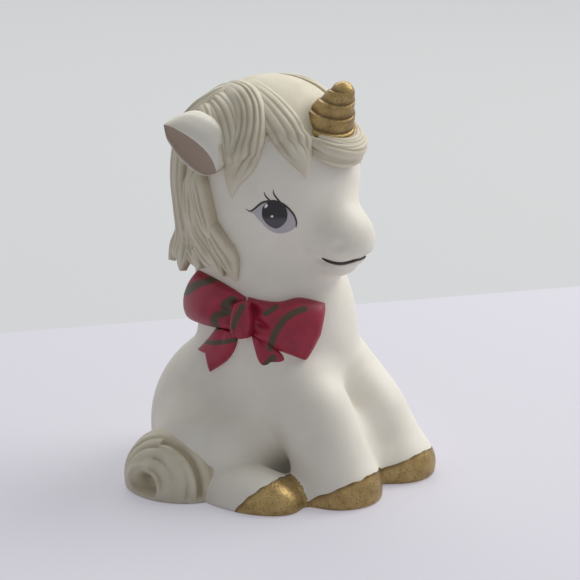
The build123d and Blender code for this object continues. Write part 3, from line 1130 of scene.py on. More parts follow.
@dataclass(frozen=True)
class Strands:
    """The strand grooves of a lock, each with values of its own drawn from these ranges.

    Half width, shift and wander are shares of the spacing; start, end and fade are shares
    of the length.
    """

    count: int
    seed: int
    half_width: float = 0.42
    shift: float = 0.25
    wander: Span = (0.1, 0.5)
    waves: Span = (2.0, 5.0)
    phase: Span = (0.0, 6.0)
    start: Span = (-0.1, 0.25)
    end: Span = (0.75, 1.05)
    fade: float = 0.2
    strength: Span = (0.6, 1.0)

    def depth(self, across: Array, along: Array) -> Array:
        """How deep the grooves are: a bell curve across each, which wanders and fades along it.

        Args:
            across: places across, from -1 to 1.
            along: places along, from 0 to 1, as a column.

        Returns:
            0 on a ridge, and up to 1 in a groove.
        """
        draw = np.random.default_rng(self.seed)
        depth = np.zeros(np.broadcast(across, along).shape)
        spaces = self.count + 1
        for number in range(self.count):
            middle = -1 + 2 * (number + 1) / spaces + draw.uniform(-self.shift, self.shift) / spaces
            swing = draw.uniform(*self.wander) / spaces
            wander = swing * np.sin(along * draw.uniform(*self.waves) + draw.uniform(*self.phase))
            begin, finish = draw.uniform(*self.start), draw.uniform(*self.end)
            fades = smooth_step(along, begin, begin + self.fade), fade_out(along, finish - self.fade, finish)
            groove = bell((across - middle - wander) * spaces, self.half_width) * fades[0] * fades[1]
            depth = np.maximum(depth, groove * draw.uniform(*self.strength))
        return depth


@dataclass(frozen=True)
class Lock:
    """A carved lock of hair: a lens-shaped profile along a route on its bed.

    A route of pixels is cast on to the bed, and a route of places stays as it is. The lock
    swells from nothing over its first stretch, rise, and thins where it is narrow.
    """

    route: tuple[tuple[float, ...], ...]
    half_widths: tuple[float, ...]
    height: float = 1.1
    grooves: int = 3
    groove_depth: float = 0.38
    seed: int = 1
    sink: float = 1.0
    rise: float = 0.12
    rise_from: float = -0.02
    settle_steps: int = 2
    rim: float = 3.0
    crown: float = 0.6
    least_width: float = 0.05
    narrow_share: float = 1.6
    narrow_power: float = 0.7
    # How dark the painted shade along the lock's edges is.
    edge_painted_shade: float = 0.55
    edge_power: int = 8
    rows: int = 60
    strand_columns: int = 10
    back_columns: int = 7

    def points(self, bed: Distance) -> Array:
        """The route in millimetres: pixels are cast on to the bed, places stay as they are."""
        on_photo = len(self.route[0]) == 2
        return PHOTO.onto(self.route, bed) if on_photo else np.array(self.route, float)

    def build(self, bed: Distance) -> Skin:
        """The lock on its bed.

        Across the lock the height is the crown times (1 - |v| to the power rim) to the
        power crown, less the grooves. Points beside the route are first settled on the bed
        and then raised, and the route's own height over the bed is kept, so a lock can
        lift off at its tip. Painted shade lies in the grooves and along the edges.

        Args:
            bed: the field of what the lock lies on.

        Returns:
            The tube.
        """
        along = np.linspace(0.0, 1.0, grain(self.rows))
        line = spline(self.points(bed), along)
        lift = bed(line)
        foot, normal = settle(bed, line, self.settle_steps)
        run = unit(np.gradient(foot + normal * lift[:, None], axis=0))
        side = unit(np.cross(run, normal))
        width = np.maximum(eased(self.half_widths, along), self.least_width)
        across = -np.cos(np.linspace(0.0, np.pi, grain(self.strand_columns * (self.grooves + 2))))
        spot = foot[:, None] + side[:, None] * (across * width[:, None])[..., None]
        ground, up = settle(bed, spot, self.settle_steps)
        bulge = np.maximum(1 - np.abs(across) ** self.rim, 0.0) ** self.crown
        narrow = np.minimum(1.0, width / width.max() * self.narrow_share) ** self.narrow_power
        taper = (smooth_step(along, self.rise_from, self.rise) * narrow)[:, None]
        carve = Strands(self.grooves, self.seed).depth(across, along[:, None])
        relief = self.height * bulge - self.groove_depth * carve * bulge**0.5
        # Painted shade in the grooves and along the lock's edges.
        edge = np.maximum(carve, self.edge_painted_shade * np.abs(across) ** self.edge_power) * taper
        return pillow(ground, up, lift[:, None] + taper * relief, self.sink - lift[:, None, None],
                      self.back_columns, {"groove": edge})


@dataclass(frozen=True)
class Stroke(Lock):
    """A painted line: a thin lock without grooves."""

    grooves: int = 0
    groove_depth: float = 0.0
    sink: float = 0.3


@dataclass
class Ears:
    """The ears: pouches swept back from the temples, open along their lower outer edge.

    The right one is drawn as closed sections square to the line from its tip to its front
    root. Each section passes control points given as a share of the opening's half width
    there (up to the upper lip below 0, down to the lower lip above 0), a rise and a place
    outward in millimetres, a share of the hollow's depth, and how far it counts as inside
    the hollow.
    """

    tip: Triple = (-24.0, 13.3, 85.2)
    root: Triple = (-22.0, -0.2, 75.6)
    facing: Triple = (-0.99, 0.08, 0.07)
    upper: tuple[float, ...] = (0.05, 1.15, 1.75, 2.2, 2.5, 2.6, 2.4, 1.7, 0.3)
    lower: tuple[float, ...] = (0.05, 2.2, 3.1, 3.8, 4.1, 4.1, 3.85, 3.0, 0.5)
    depth: float = 2.1
    depth_power: float = 0.7
    root_shallower: float = 0.4
    blunt: float = 0.24
    tip_share: float = 0.1
    rows: int = 110
    columns: int = 180
    section: tuple[tuple[float, float, float, float, float], ...] = (
        (1.00, 0.0, -0.45, 0.0, 0.0), (0.94, 0.0, 0.05, 0.0, 0.0), (0.82, 0.0, -0.1, 0.35, 1.0),
        (0.52, 0.0, 0.0, 0.85, 1.0), (0.05, 0.0, 0.0, 1.0, 1.0), (-0.50, 0.0, 0.0, 0.75, 1.0),
        (-0.78, 0.0, 0.0, 0.25, 1.0), (-1.02, 0.0, 0.3, 0.0, 0.0), (-1.45, 0.2, -0.1, 0.0, 0.0),
        (-1.75, 1.1, -1.5, 0.0, 0.0), (-1.80, 2.3, -3.6, 0.0, 0.0), (-1.20, 3.4, -6.2, 0.0, 0.0),
        (0.00, 2.0, -8.5, 0.0, 0.0), (0.75, 0.0, -5.6, 0.0, 0.0), (1.00, 0.0, -2.2, 0.0, 0.0),
    )

    def axes(self) -> tuple[Array, Array]:
        """The ear's two cross directions.

        Returns:
            The way that the hollow faces, and the way to the opening's lower lip.
        """
        run = unit(np.array(self.root) - np.array(self.tip))
        out = unit(np.array(self.facing) - run * (run @ np.array(self.facing)))
        down = np.cross(out, run)
        return out, down * -np.sign(down[2])

    def build(self) -> Skin:
        """The right ear, by sections from the tip to the root.

        The hollow's depth follows a half sine to the power depth_power, less towards the
        root, and the section's outer size closes at the tip in a quarter round.

        Returns:
            The tube.
        """
        tip, root = np.array(self.tip), np.array(self.root)
        out, down = self.axes()
        share = np.linspace(0.0, 1.0, grain(self.rows))[:, None]
        upper, lower = (eased(lip, share[:, 0])[:, None] for lip in (self.upper, self.lower))
        loop = closed_spline(np.array(self.section), spokes(self.columns) / TURN)
        width, rise, outward, deep, inside = loop.T
        arch = np.maximum(np.sin(np.pi * share), 0.0) ** self.depth_power
        sunk = self.depth * arch * (1.0 - self.root_shallower * share)
        size = self.tip_share + (1.0 - self.tip_share) * quarter_round(share / self.blunt)
        across = np.where(width > 0, width * lower, width * upper) - rise * size
        level = outward * size - deep * sunk
        line = tip + (root - tip) * share
        rings = line[:, None] + across[..., None] * down + level[..., None] * out
        return Skin(rings, values={"hollow": np.clip(inside, 0.0, 1.0) + share * 0})

    def dress(self) -> None:
        """Builds the right ear and its mirror image."""
        ear = self.build()
        make_piece("right_ear_leaf", [ear], EAR_HOLLOW_TINT, "right_ear")
        make_piece("left_ear_leaf", [ear.mirrored()], EAR_HOLLOW_TINT, "left_ear")


@dataclass
class Horn:
    """The gilt horn: a leaning cone of two bands that wind up side by side.

    A band is measured by its own share, from 0 at the groove below it to 1 at its rim.
    """

    root: Triple = (0.0, -13.3, 80.9)
    lean: float = 27.0
    length: float = 15.6
    profile: tuple[Span, ...] = (
        (0.0, 5.0), (1.0, 6.0), (2.2, 6.6), (3.6, 6.6), (4.8, 6.1), (8.4, 4.7), (12.0, 3.2), (15.6, 1.9))
    band: float = 3.4
    narrowing: float = 0.1
    first: float = 0.2
    bulge: float = 0.47
    bulge_by_radius: Span = (0.35, 0.1)
    flare: Span = (0.1, 1.2)
    flare_middle: float = 0.6
    step_in: Span = (0.86, 1.0)
    step_power: float = 0.6
    plain_foot: Span = (0.0, 0.1)
    plain_tip: Span = (0.82, 0.97)
    tip_rounding: float = 1.8
    least_share: float = 0.02
    # How far the painted shade reaches above and below each groove, as shares of a band.
    painted_shade_above: float = 0.2
    painted_shade_below: float = 0.05
    rows: int = 170
    columns: int = 160
    profile_steps: int = 90

    def frame(self) -> Array:
        """Its axes as rows: to the animal's left, forward and down, and up the horn."""
        lean = np.radians(self.lean)
        return np.array(((1, 0, 0), (0, -np.cos(lean), -np.sin(lean)), (0, -np.sin(lean), np.cos(lean))))

    def build(self) -> Skin:
        """The horn, by rings up its axis.

        The plain radius follows a profile of (height, radius) pairs and closes in a
        quarter round. Each band flares up to its rim like a cup and steps in at the groove
        above, and a groove climbs one band in half a turn.

        Returns:
            The tube.
        """
        share = np.linspace(0.0, 1.0, grain(self.rows))[:, None]
        angle = spokes(self.columns)
        height = share * self.length
        curve = spline(np.array(self.profile), np.linspace(0.0, 1.0, self.profile_steps))
        plain = np.interp(height, curve[:, 0], curve[:, 1])
        phase = height / self.band * (1.0 + self.narrowing * share) - angle / np.pi + self.first
        wave = phase - np.floor(phase)
        cup = self.flare[0] + self.flare[1] * wave
        swell = cup * fade_out(wave, *self.step_in) ** self.step_power - self.flare_middle
        fade = fade_out(share, *self.plain_tip) * smooth_step(share, *self.plain_foot)
        size = self.bulge_by_radius[0] + self.bulge_by_radius[1] * plain
        closing = quarter_round((self.length - height) / self.tip_rounding)
        radius = (plain + self.bulge * swell * size * fade) * np.maximum(closing, self.least_share)
        local = np.stack(np.broadcast_arrays(
            radius * np.sin(angle), radius * np.cos(angle), height), axis=-1)
        # Painted shade in the grooves between the bands.
        groove = np.maximum(bell(wave, self.painted_shade_above), bell(1 - wave, self.painted_shade_below)) * fade
        return Skin(local @ self.frame() + np.array(self.root), values={"groove": groove})

    def dress(self) -> None:
        """Builds the horn."""
        make_piece("spiral_horn", [self.build()], GOLD, "horn")


@dataclass(frozen=True)
class Roll:
    """A rolled strand of the forelock: a fluted tube on an arc round the horn's root."""

    radius: float
    level: float
    thickness: float
    start: float
    end: float
    flutes: int = 5
    seed: int = 1
    ends_share: float = 0.04
    ends_power: float = 0.55
    least_share: float = 0.02
    swing: float = 0.5
    swing_waves: float = 3.0
    flute_half_angle: float = 0.16
    flute_depth: float = 0.16
    flute_strength: Span = (0.5, 1.0)
    # How dark the painted shade in the flutes is.
    stain: float = 0.8
    rows: int = 80
    columns: int = 72

    def build(self, horn: Horn) -> Skin:
        """The roll, thick in the middle and drawn to a point at both ends.

        Its radius follows a half sine to the power ends_power, less the flutes, which are
        bell curves across and swing a little as they run.

        Args:
            horn: the horn that it goes round.

        Returns:
            The tube.
        """
        share = np.linspace(0.0, 1.0, grain(self.rows))
        turn = np.radians(self.start + (self.end - self.start) * share)
        left, front, up = horn.frame()
        out = np.sin(turn)[:, None] * left + np.cos(turn)[:, None] * front
        line = np.array(horn.root) + out * self.radius + up * self.level
        angle = spokes(self.columns)
        arch = np.sin(np.pi * (self.ends_share + (1.0 - 2.0 * self.ends_share) * share))
        size = self.thickness * np.maximum(arch, self.least_share) ** self.ends_power
        draw = np.random.default_rng(self.seed)
        wave = 0.0
        for number in range(self.flutes):
            middle = draw.uniform(0, TURN) + self.swing * np.sin(share * self.swing_waves + number)
            gap = (angle - middle[:, None] + np.pi) % TURN - np.pi
            wave = np.maximum(wave, bell(gap, self.flute_half_angle) * draw.uniform(*self.flute_strength))
        radius = size[:, None] * (1.0 - self.flute_depth * wave)
        rings = (line[:, None] + out[:, None] * (radius * np.cos(angle))[..., None]
                 + up * (radius * np.sin(angle))[..., None])
        # Painted shade in the flutes.
        return Skin(rings, values={"groove": wave * self.stain})


@dataclass
class Forelock:
    """The forelock: strands rolled under the horn's foot."""

    horn: Horn = field(default_factory=Horn)
    rolls: tuple[Roll, ...] = (
        Roll(7.2, 3.9, 1.6, -70, 120, seed=2),
        Roll(8.0, 2.5, 2.3, -85, 125, flutes=6, seed=3),
        Roll(8.4, 0.6, 2.0, -75, 95, seed=4),
    )

    def dress(self) -> None:
        """Builds the rolls as one piece."""
        make_piece("forelock_rolls", [roll.build(self.horn) for roll in self.rolls], CREAM, "forelock_curl")


@dataclass
class Tail:
    """The tail: a plump curl against the right haunch, its strands wound round a hollow.

    Angles from the curl's eye are in radians. Spans of offset are shares of the hollow.
    """

    ball: Ball = Ball((-25, 9, 2.5), (12.5, 14, 12))
    eye_pixel: Pixel = (146.0, 484.0)
    reach: float = 40.0
    foot_rounding: float = 0.8
    strand: float = 0.235
    strand_depth: float = 0.5
    strand_sharpness: float = 2.2
    strand_even: float = 0.55
    strand_waves: float = 1.7
    strand_starts: Span = (1.1, 1.6)
    fold_strands: float = 2.6
    fold_half_width: float = 0.10
    fold_starts: Span = (0.3, 1.0)
    fold_depth: float = 0.9
    hollow: float = 0.27
    hollow_depth: float = 3.2
    hollow_edge: Span = (0.55, 1.15)
    hollow_longer: float = 0.45
    hollow_turn: float = 0.7
    lip: float = 0.45
    lip_offset: float = 1.45
    lip_half_width: float = 0.28
    bare_foot: Span = (0.1, 2.2)
    # How dark the painted shade in the curl's hollow is.
    hollow_painted_shade: float = 0.8
    rows: int = 170
    columns: int = 260
    row_crowding: float = 1.15

    def plain(self, points: Array) -> Array:
        """The distance to the tail before it is carved, level with the floor below."""
        return soft_max(self.ball.distance(points), -points[..., 2], self.foot_rounding)

    def carved(self, polar: Array, angle: Array) -> tuple[Array, Array]:
        """How far the carved tail stands over the plain one, and where its painted shade lies.

        A strand's phase is the angle from the eye over the strand's width, less the share
        of a turn about the eye, so that the grooves between strands wind in to it.

        Args:
            polar: angles from the eye, as a column.
            angle: turns about it, as a row.

        Returns:
            The height in millimetres and the painted shade from 0 to 1.
        """
        turn = angle / TURN
        phase = (polar - self.hollow) / self.strand - turn
        sharp = (1 - np.abs(phase - np.round(phase)) * 2) ** self.strand_sharpness
        varied = self.strand_even + (1.0 - self.strand_even) * np.sin(angle * 2 + phase * self.strand_waves)
        strands = np.maximum(sharp * varied, 0)
        fold = (polar - self.hollow) / (self.strand * self.fold_strands) - turn
        crease = bell(fold - np.round(fold), self.fold_half_width) * smooth_step(fold, *self.fold_starts)
        offset = polar / self.hollow * (1.0 + self.hollow_longer * np.cos(angle - self.hollow_turn))
        pit = fade_out(offset, *self.hollow_edge)
        height = (self.lip * bell(offset - self.lip_offset, self.lip_half_width)
                  - self.strand_depth * strands * smooth_step(offset, *self.strand_starts)
                  - self.fold_depth * crease - self.hollow_depth * pit)
        # Painted shade in the strands' grooves, the folds and the hollow.
        return height, np.clip(strands + crease + self.hollow_painted_shade * pit, 0.0, 1.0)

    def build(self) -> Skin:
        """Rays round the curl's own eye, and then the strands carved about it.

        Returns:
            The tube.
        """
        centre = np.array(self.ball.centre)
        pole = unit(PHOTO.onto([self.eye_pixel], self.ball.distance)[0] - centre)
        right = unit(np.cross((0.0, 0.0, 1.0), pole))
        up = np.cross(pole, right)
        share = np.linspace(0.0, 1.0, grain(self.rows) + 2)[1:-1]
        polar = (share**self.row_crowding * np.pi)[:, None]
        angle = spokes(self.columns)
        directions = ((np.sin(polar) * np.sin(angle))[..., None] * right
                      + (np.sin(polar) * np.cos(angle))[..., None] * up
                      + (np.cos(polar) + angle * 0)[..., None] * pole)
        side = cast(self.plain, centre, directions, self.reach)
        height, stain = self.carved(polar, angle)
        low = smooth_step(side[..., 2], *self.bare_foot)
        rings = side + slope(self.plain, side) * (low * height)[..., None]
        return Skin(rings, values={"groove": stain * low})

    def dress(self) -> None:
        """Builds the tail."""
        make_piece("curled_tail", [self.build()], CREAM, "tail")


@dataclass(frozen=True)
class BackLock:
    """A lock that falls from the crown to the nape and flicks out there.

    Its turn is in degrees from the middle of the back towards the right side. The levels,
    the flick and the shares of the half width belong to the same nine places along it.
    """

    turn: float
    half_width: float
    height: float
    foot: float
    grooves: int
    seed: int
    top: float = 93.6
    levels: tuple[float, ...] = (93.6, 90.0, 84.5, 78.0, 71.0, 64.0, 58.0, 53.5)
    least_step: float = 1.2
    sway: float = 5.0
    sway_length: float = 14.0
    sway_from: float = 94.0
    straight_above: float = 88.0
    flick: tuple[float, ...] = (0, 0, 0, 0, 0, 0, 0.1, 0.5, 1.3)
    width_shares: tuple[float, ...] = (0.12, 0.45, 0.8, 0.95, 1.0, 0.95, 0.86, 0.62, 0.06)
    groove_depth: float = 0.6
    sink: float = 1.4
    axis_y: float = 1.0
    reach: float = 40.0

    def build(self, bed: Distance) -> Skin:
        """The lock on its bed.

        The levels are kept a step apart and scaled to run from the top to the foot. Level
        rays from the neck's axis, which sway in a sine as they come down, find the route.

        Args:
            bed: the field of what it lies on.

        Returns:
            The tube.
        """
        level = np.array((*self.levels, self.foot))
        level = np.maximum(level, self.foot + np.arange(len(level))[::-1] * self.least_step)
        level = self.foot + (level - self.foot) * (self.top - self.foot) / (level[0] - self.foot)
        sway = self.sway * np.sin((self.sway_from - level) / self.sway_length + self.seed)
        swing = np.radians(self.turn + np.where(level > self.straight_above, 0.0, sway))
        ray = np.stack([-np.sin(swing), np.cos(swing), swing * 0], axis=-1)
        start = np.stack([swing * 0, swing * 0 + self.axis_y, level], axis=-1)
        flick = np.array(self.flick) * np.cos(np.radians(self.turn))
        route = cast(bed, start, ray, self.reach) + ray * flick[:, None]
        widths = np.array(self.width_shares) * self.half_width
        lock = Lock(tuple(map(tuple, route)), tuple(widths), self.height, self.grooves,
                    self.groove_depth, self.seed, self.sink)
        return lock.build(bed)


@dataclass
class Hair:
    """Everything combed: the cap over the skull, the fringe's locks, the back and the mane.

    The cap is an egg cut off below a slanting plane, which drops towards the middle of
    the forehead. The mane's body is a column cut off in front by an edge that runs down
    behind the ear and then slants forward.
    """

    cap: Ball = Ball(at_head(0, 1, 0), (21.1, 21.1, 23.3))
    cap_middle: Triple = at_head(0, 4, 8)
    cap_tilt: Triple = (0.0, 0.50, 0.866)
    cap_level: float = 5.0
    cap_drop: float = 7.5
    cap_drop_width: Span = (5.0, 13.0)
    cap_rounding: float = 1.0
    cap_rows: int = 110
    cap_columns: int = 160
    # How dark the painted shade round the horn's foot is, and where it fades out.
    cap_painted_shade: float = 0.6
    cap_painted_shade_reach: Span = (6.5, 9.5)
    neck_blend: float = 3.0
    cap_blend: float = 2.5
    nape_blend: float = 4.0
    reach: float = 40.0
    fringe: tuple[Lock, ...] = (
        Lock(((232, 78), (244, 84), (258, 94), (271, 108), (285, 127), (296, 147), (302, 162), (306.5, 179)),
             (1.2, 2.6, 3.2, 3.9, 4.3, 3.9, 2.4, 0.0), 1.4, grooves=4, seed=3, rise=0.8),
        Lock(((212, 86), (226, 86), (240, 92), (249, 106), (251, 122), (249, 138), (244, 154), (237, 170),
              (233, 184), (232.3, 199)),
             (1.0, 2.6, 3.4, 3.6, 3.6, 3.7, 3.9, 3.3, 1.7, 0.0), 1.5, grooves=4, seed=5, rise=0.3),
        Lock(((200, 97), (211, 100), (221, 111), (227, 125), (230, 139), (229, 152), (225.5, 166)),
             (1.6, 3.2, 3.8, 3.4, 2.8, 1.7, 0.0), 1.4, grooves=4, seed=7, rise=0.3),
        Lock(((190, 99), (198, 104), (206, 114), (212, 127), (217, 140), (221.5, 152), (224.5, 164)),
             (0.8, 2.0, 2.4, 2.2, 1.8, 1.2, 0.0), 1.9, grooves=2, seed=8),
    )
    cheek_locks: tuple[Lock, ...] = (
        Lock(((196, 172), (198, 188), (201, 204), (205, 219), (209, 231), (213.5, 241.5)),
             (1.4, 2.4, 2.6, 2.2, 1.4, 0.0), 1.5, 3, 0.45, 12, 3.2),
        Lock(((190, 204), (193, 220), (198, 236), (206, 251), (215, 264), (223, 277)),
             (1.6, 3.0, 3.3, 3.1, 2.2, 0.3), 1.5, 4, 0.45, 13, 3.2),
        Lock(((203, 214), (210, 230), (219, 246), (229, 262), (236, 281)),
             (0.6, 1.9, 2.6, 2.4, 0.4), 1.1, 2, 0.45, 14, 3.2),
        Lock(((186, 226), (189, 240), (194, 254), (200, 268)),
             (0.8, 2.4, 2.6, 0.6), 1.3, 2, 0.45, 15, 3.2),
    )
    back_locks: tuple[BackLock, ...] = (
        BackLock(0.0, 5.1, 1.7, 49.0, 5, seed=20),
        BackLock(25.7, 5.0, 1.6, 49.3, 5, seed=21),
        BackLock(51.4, 4.8, 1.5, 49.6, 4, seed=22),
        BackLock(12.8, 2.6, 1.9, 51.6, 2, seed=23),
        BackLock(38.5, 2.5, 1.8, 52.0, 2, seed=24),
        BackLock(66.0, 2.8, 1.5, 55.5, 2, seed=26, top=75.0),
    )
    nape: Column = Column((
        (84, 0, 1.0, 19.0, 19.6), (80, 0, 1.0, 19.6, 20.2), (71, 0, 1.0, 20.1, 20.7),
        (64, 0, 1.6, 19.6, 20.4), (58, 0, 2.8, 18.8, 20.2), (53, 0, 4.1, 18.5, 20.7),
        (49, 0, 4.8, 18.5, 21.3),
    ), top_rounding=2.0)
    nape_top: float = 84.0
    nape_foot: float = 52.6
    nape_lift: float = 0.1
    nape_axis: float = 12.0
    nape_edge: float = 8.3
    nape_slant_from: float = 60.0
    nape_slant: float = 0.8
    nape_edge_slope: float = 0.85
    nape_rounding: float = 1.2
    nape_rows: int = 70
    nape_columns: int = 160

    def cap_field(self, points: Array) -> Array:
        """The cap, from the egg and the slanting plane.

        Args:
            points: places in millimetres.

        Returns:
            One distance per point, negative inside.
        """
        drop = self.cap_drop * fade_out(np.abs(points[..., 0]), *self.cap_drop_width)
        plane = self.cap_level - drop - (points - np.array(HEAD)) @ np.array(self.cap_tilt)
        return soft_max(self.cap.distance(points), plane, self.cap_rounding)

    def bed(self, points: Array) -> Array:
        """What the fringe lies on: skull, neck and cap."""
        bare = soft_min(union(points, CASTING.skull), union(points, CASTING.trunk), self.neck_blend)
        return soft_min(bare, self.cap_field(points), self.cap_blend)

    def back_bed(self, points: Array) -> Array:
        """What the back locks lie on: the skull's cap running on into the nape."""
        return soft_min(self.cap.distance(points), self.nape.distance(points), self.nape_blend)

    def nape_field(self, points: Array) -> Array:
        """The mane's body, from the column, the edge in front and its foot.

        Args:
            points: places in millimetres.

        Returns:
            One distance per point, negative inside.
        """
        slant = self.nape_slant * np.maximum(self.nape_slant_from - points[..., 2], 0.0)
        edge = self.nape_edge - points[..., 1] - slant
        form = soft_max(self.nape.distance(points), edge * self.nape_edge_slope, self.nape_rounding)
        return soft_max(form, self.nape_foot - points[..., 2], self.nape_rounding)

    def build_cap(self) -> Skin:
        """The cap by rays from a place inside it, with painted shade round the horn's foot.

        Returns:
            The tube.
        """
        rays = globe(self.cap_rows, self.cap_columns)
        side = cast(self.cap_field, np.array(self.cap_middle), rays, self.reach)
        # Painted shade round the horn's foot.
        stain = self.cap_painted_shade * fade_out(away_from(side, HORN_FOOT), *self.cap_painted_shade_reach)
        return Skin(side, slope(self.cap_field, side), {"groove": stain})

    def build_nape(self) -> Skin:
        """The mane's body by level rays from an axis inside the neck.

        Returns:
            The tube, from its foot up.
        """
        low = self.nape_foot + self.nape_lift
        level = np.linspace(low, self.nape_top, grain(self.nape_rows))[:, None]
        angle = spokes(self.nape_columns)
        directions = np.stack(np.broadcast_arrays(np.cos(angle), np.sin(angle), level * 0), axis=-1)
        origins = np.stack(np.broadcast_arrays(
            level * 0, level * 0 + self.nape_axis, level + angle * 0), axis=-1)
        side = cast(self.nape_field, origins, directions, self.reach)
        return Skin(side, slope(self.nape_field, side))

    def dress(self) -> None:
        """Builds the cap, the two halves of the fringe and the mane."""
        make_piece("hair_cap", [self.build_cap()], CREAM, "back_hair")
        right = [lock.build(self.bed) for lock in self.fringe]
        make_piece("right_fringe_locks", right, CREAM, "right_fringe")
        make_piece("left_fringe_locks", [skin.mirrored() for skin in right], CREAM, "left_fringe")
        cheeks = [lock.build(self.back_bed) for lock in self.cheek_locks]
        middle, *backs = [lock.build(self.back_bed) for lock in self.back_locks]
        make_piece("nape_locks", [self.build_nape(), *both_sides(cheeks), middle, *both_sides(backs)],
                   CREAM, "nape_mane")


@dataclass(frozen=True)
class Ribbon:
    """A stretch of the bow: a patch between four edges drawn on the photograph.

    Near and far run from low to high, and low and high run outward. u is the share of the
    way outward and v the share of the way from low to high. A hollow is given by its
    middle u and v, its reach in u and v, and its depth; a fold by its v at both ends, its
    half width in v and its depth.
    """

    name: str
    node: str
    near: tuple[Pixel, ...]
    far: tuple[Pixel, ...]
    low: tuple[Pixel, ...]
    high: tuple[Pixel, ...]
    thickness: float
    puff: float
    pinch: float = 0.0
    swell_end: float = 0.2
    hollows: tuple[tuple[float, float, float, float, float], ...] = ()
    folds: tuple[tuple[float, float, float, float], ...] = ()
    columns: int = 80
    rows: int = 90
    back_columns: int = 8
    sink: float = 1.0
    rim_power: int = 9
    end_rounding: float = 0.1
    swell_start: float = -0.1
    swell_power: float = 2.4
    swell_crown: float = 0.7
    pinch_fade: Span = (-0.05, 0.3)
    fold_fade: Span = (0.1, 0.85)

    def patch(self, along: Array, across: Array) -> Array:
        """The pixels of the patch: a blend of its four edges.

        A place is the blend of the two long edges, plus the blend of the two ends, less
        the blend of the four corners.

        Args:
            along: shares of the way outward.
            across: shares of the way from low to high.

        Returns:
            One pixel per pair of shares.
        """
        near, far = spline(np.array(self.near), across), polyline(np.array(self.far), across)
        low, high = spline(np.array(self.low), along), spline(np.array(self.high), along)
        u, v = along[:, None, None], across[None, :, None]
        sides = (1 - v) * low[:, None] + v * high[:, None]
        ends = (1 - u) * near[None] + u * far[None]
        corners = (1 - u) * ((1 - v) * near[0] + v * near[-1]) + u * ((1 - v) * far[0] + v * far[-1])
        return sides + ends - corners

    def height(self, u: Array, v: Array) -> Array:
        """How far the ribbon stands out: its puff, less its pinch, hollows and folds.

        The puff is (1 - |2v - 1| to the power swell_power) to the power swell_crown, each
        hollow and fold is a bell curve, and the rims are rounded off.

        Args:
            u: shares of the way outward, as a column.
            v: shares of the way from low to high, as a row.

        Returns:
            One height per place, in millimetres.
        """
        edge = np.abs(2 * v - 1)
        rim = np.maximum(1 - edge**self.rim_power, 0.0) ** 0.5 * quarter_round((1 - u) / self.end_rounding)
        swell = np.maximum(1 - edge**self.swell_power, 0.0) ** self.swell_crown
        swell = swell * smooth_step(u, self.swell_start, self.swell_end)
        height = self.thickness + self.puff * swell - self.pinch * fade_out(u, *self.pinch_fade)
        for middle_u, middle_v, reach_u, reach_v, depth in self.hollows:
            height = height - depth * bell(u - middle_u, reach_u) * bell(v - middle_v, reach_v)
        for start_v, end_v, breadth, depth in self.folds:
            crease = bell(v - start_v - (end_v - start_v) * u, breadth)
            height = height - depth * crease * fade_out(u, *self.fold_fade)
        return height * rim

    def build(self, bow: Bow) -> Skin:
        """The patch as a closed pillow on the neck, with places crowded towards its rims.

        Args:
            bow: the bow, which gives the neck and the painted bands.

        Returns:
            The tube.
        """
        along, across = (0.5 - 0.5 * np.cos(np.linspace(0.0, np.pi, grain(count)))
                         for count in (self.rows, self.columns))
        pixels = self.patch(along, across)
        ground, up = cast_grid(pixels, bow.bed)
        return pillow(ground, up, self.height(along[:, None], across[None, :]), self.sink,
                      self.back_columns, {"band": bow.bands(pixels)})


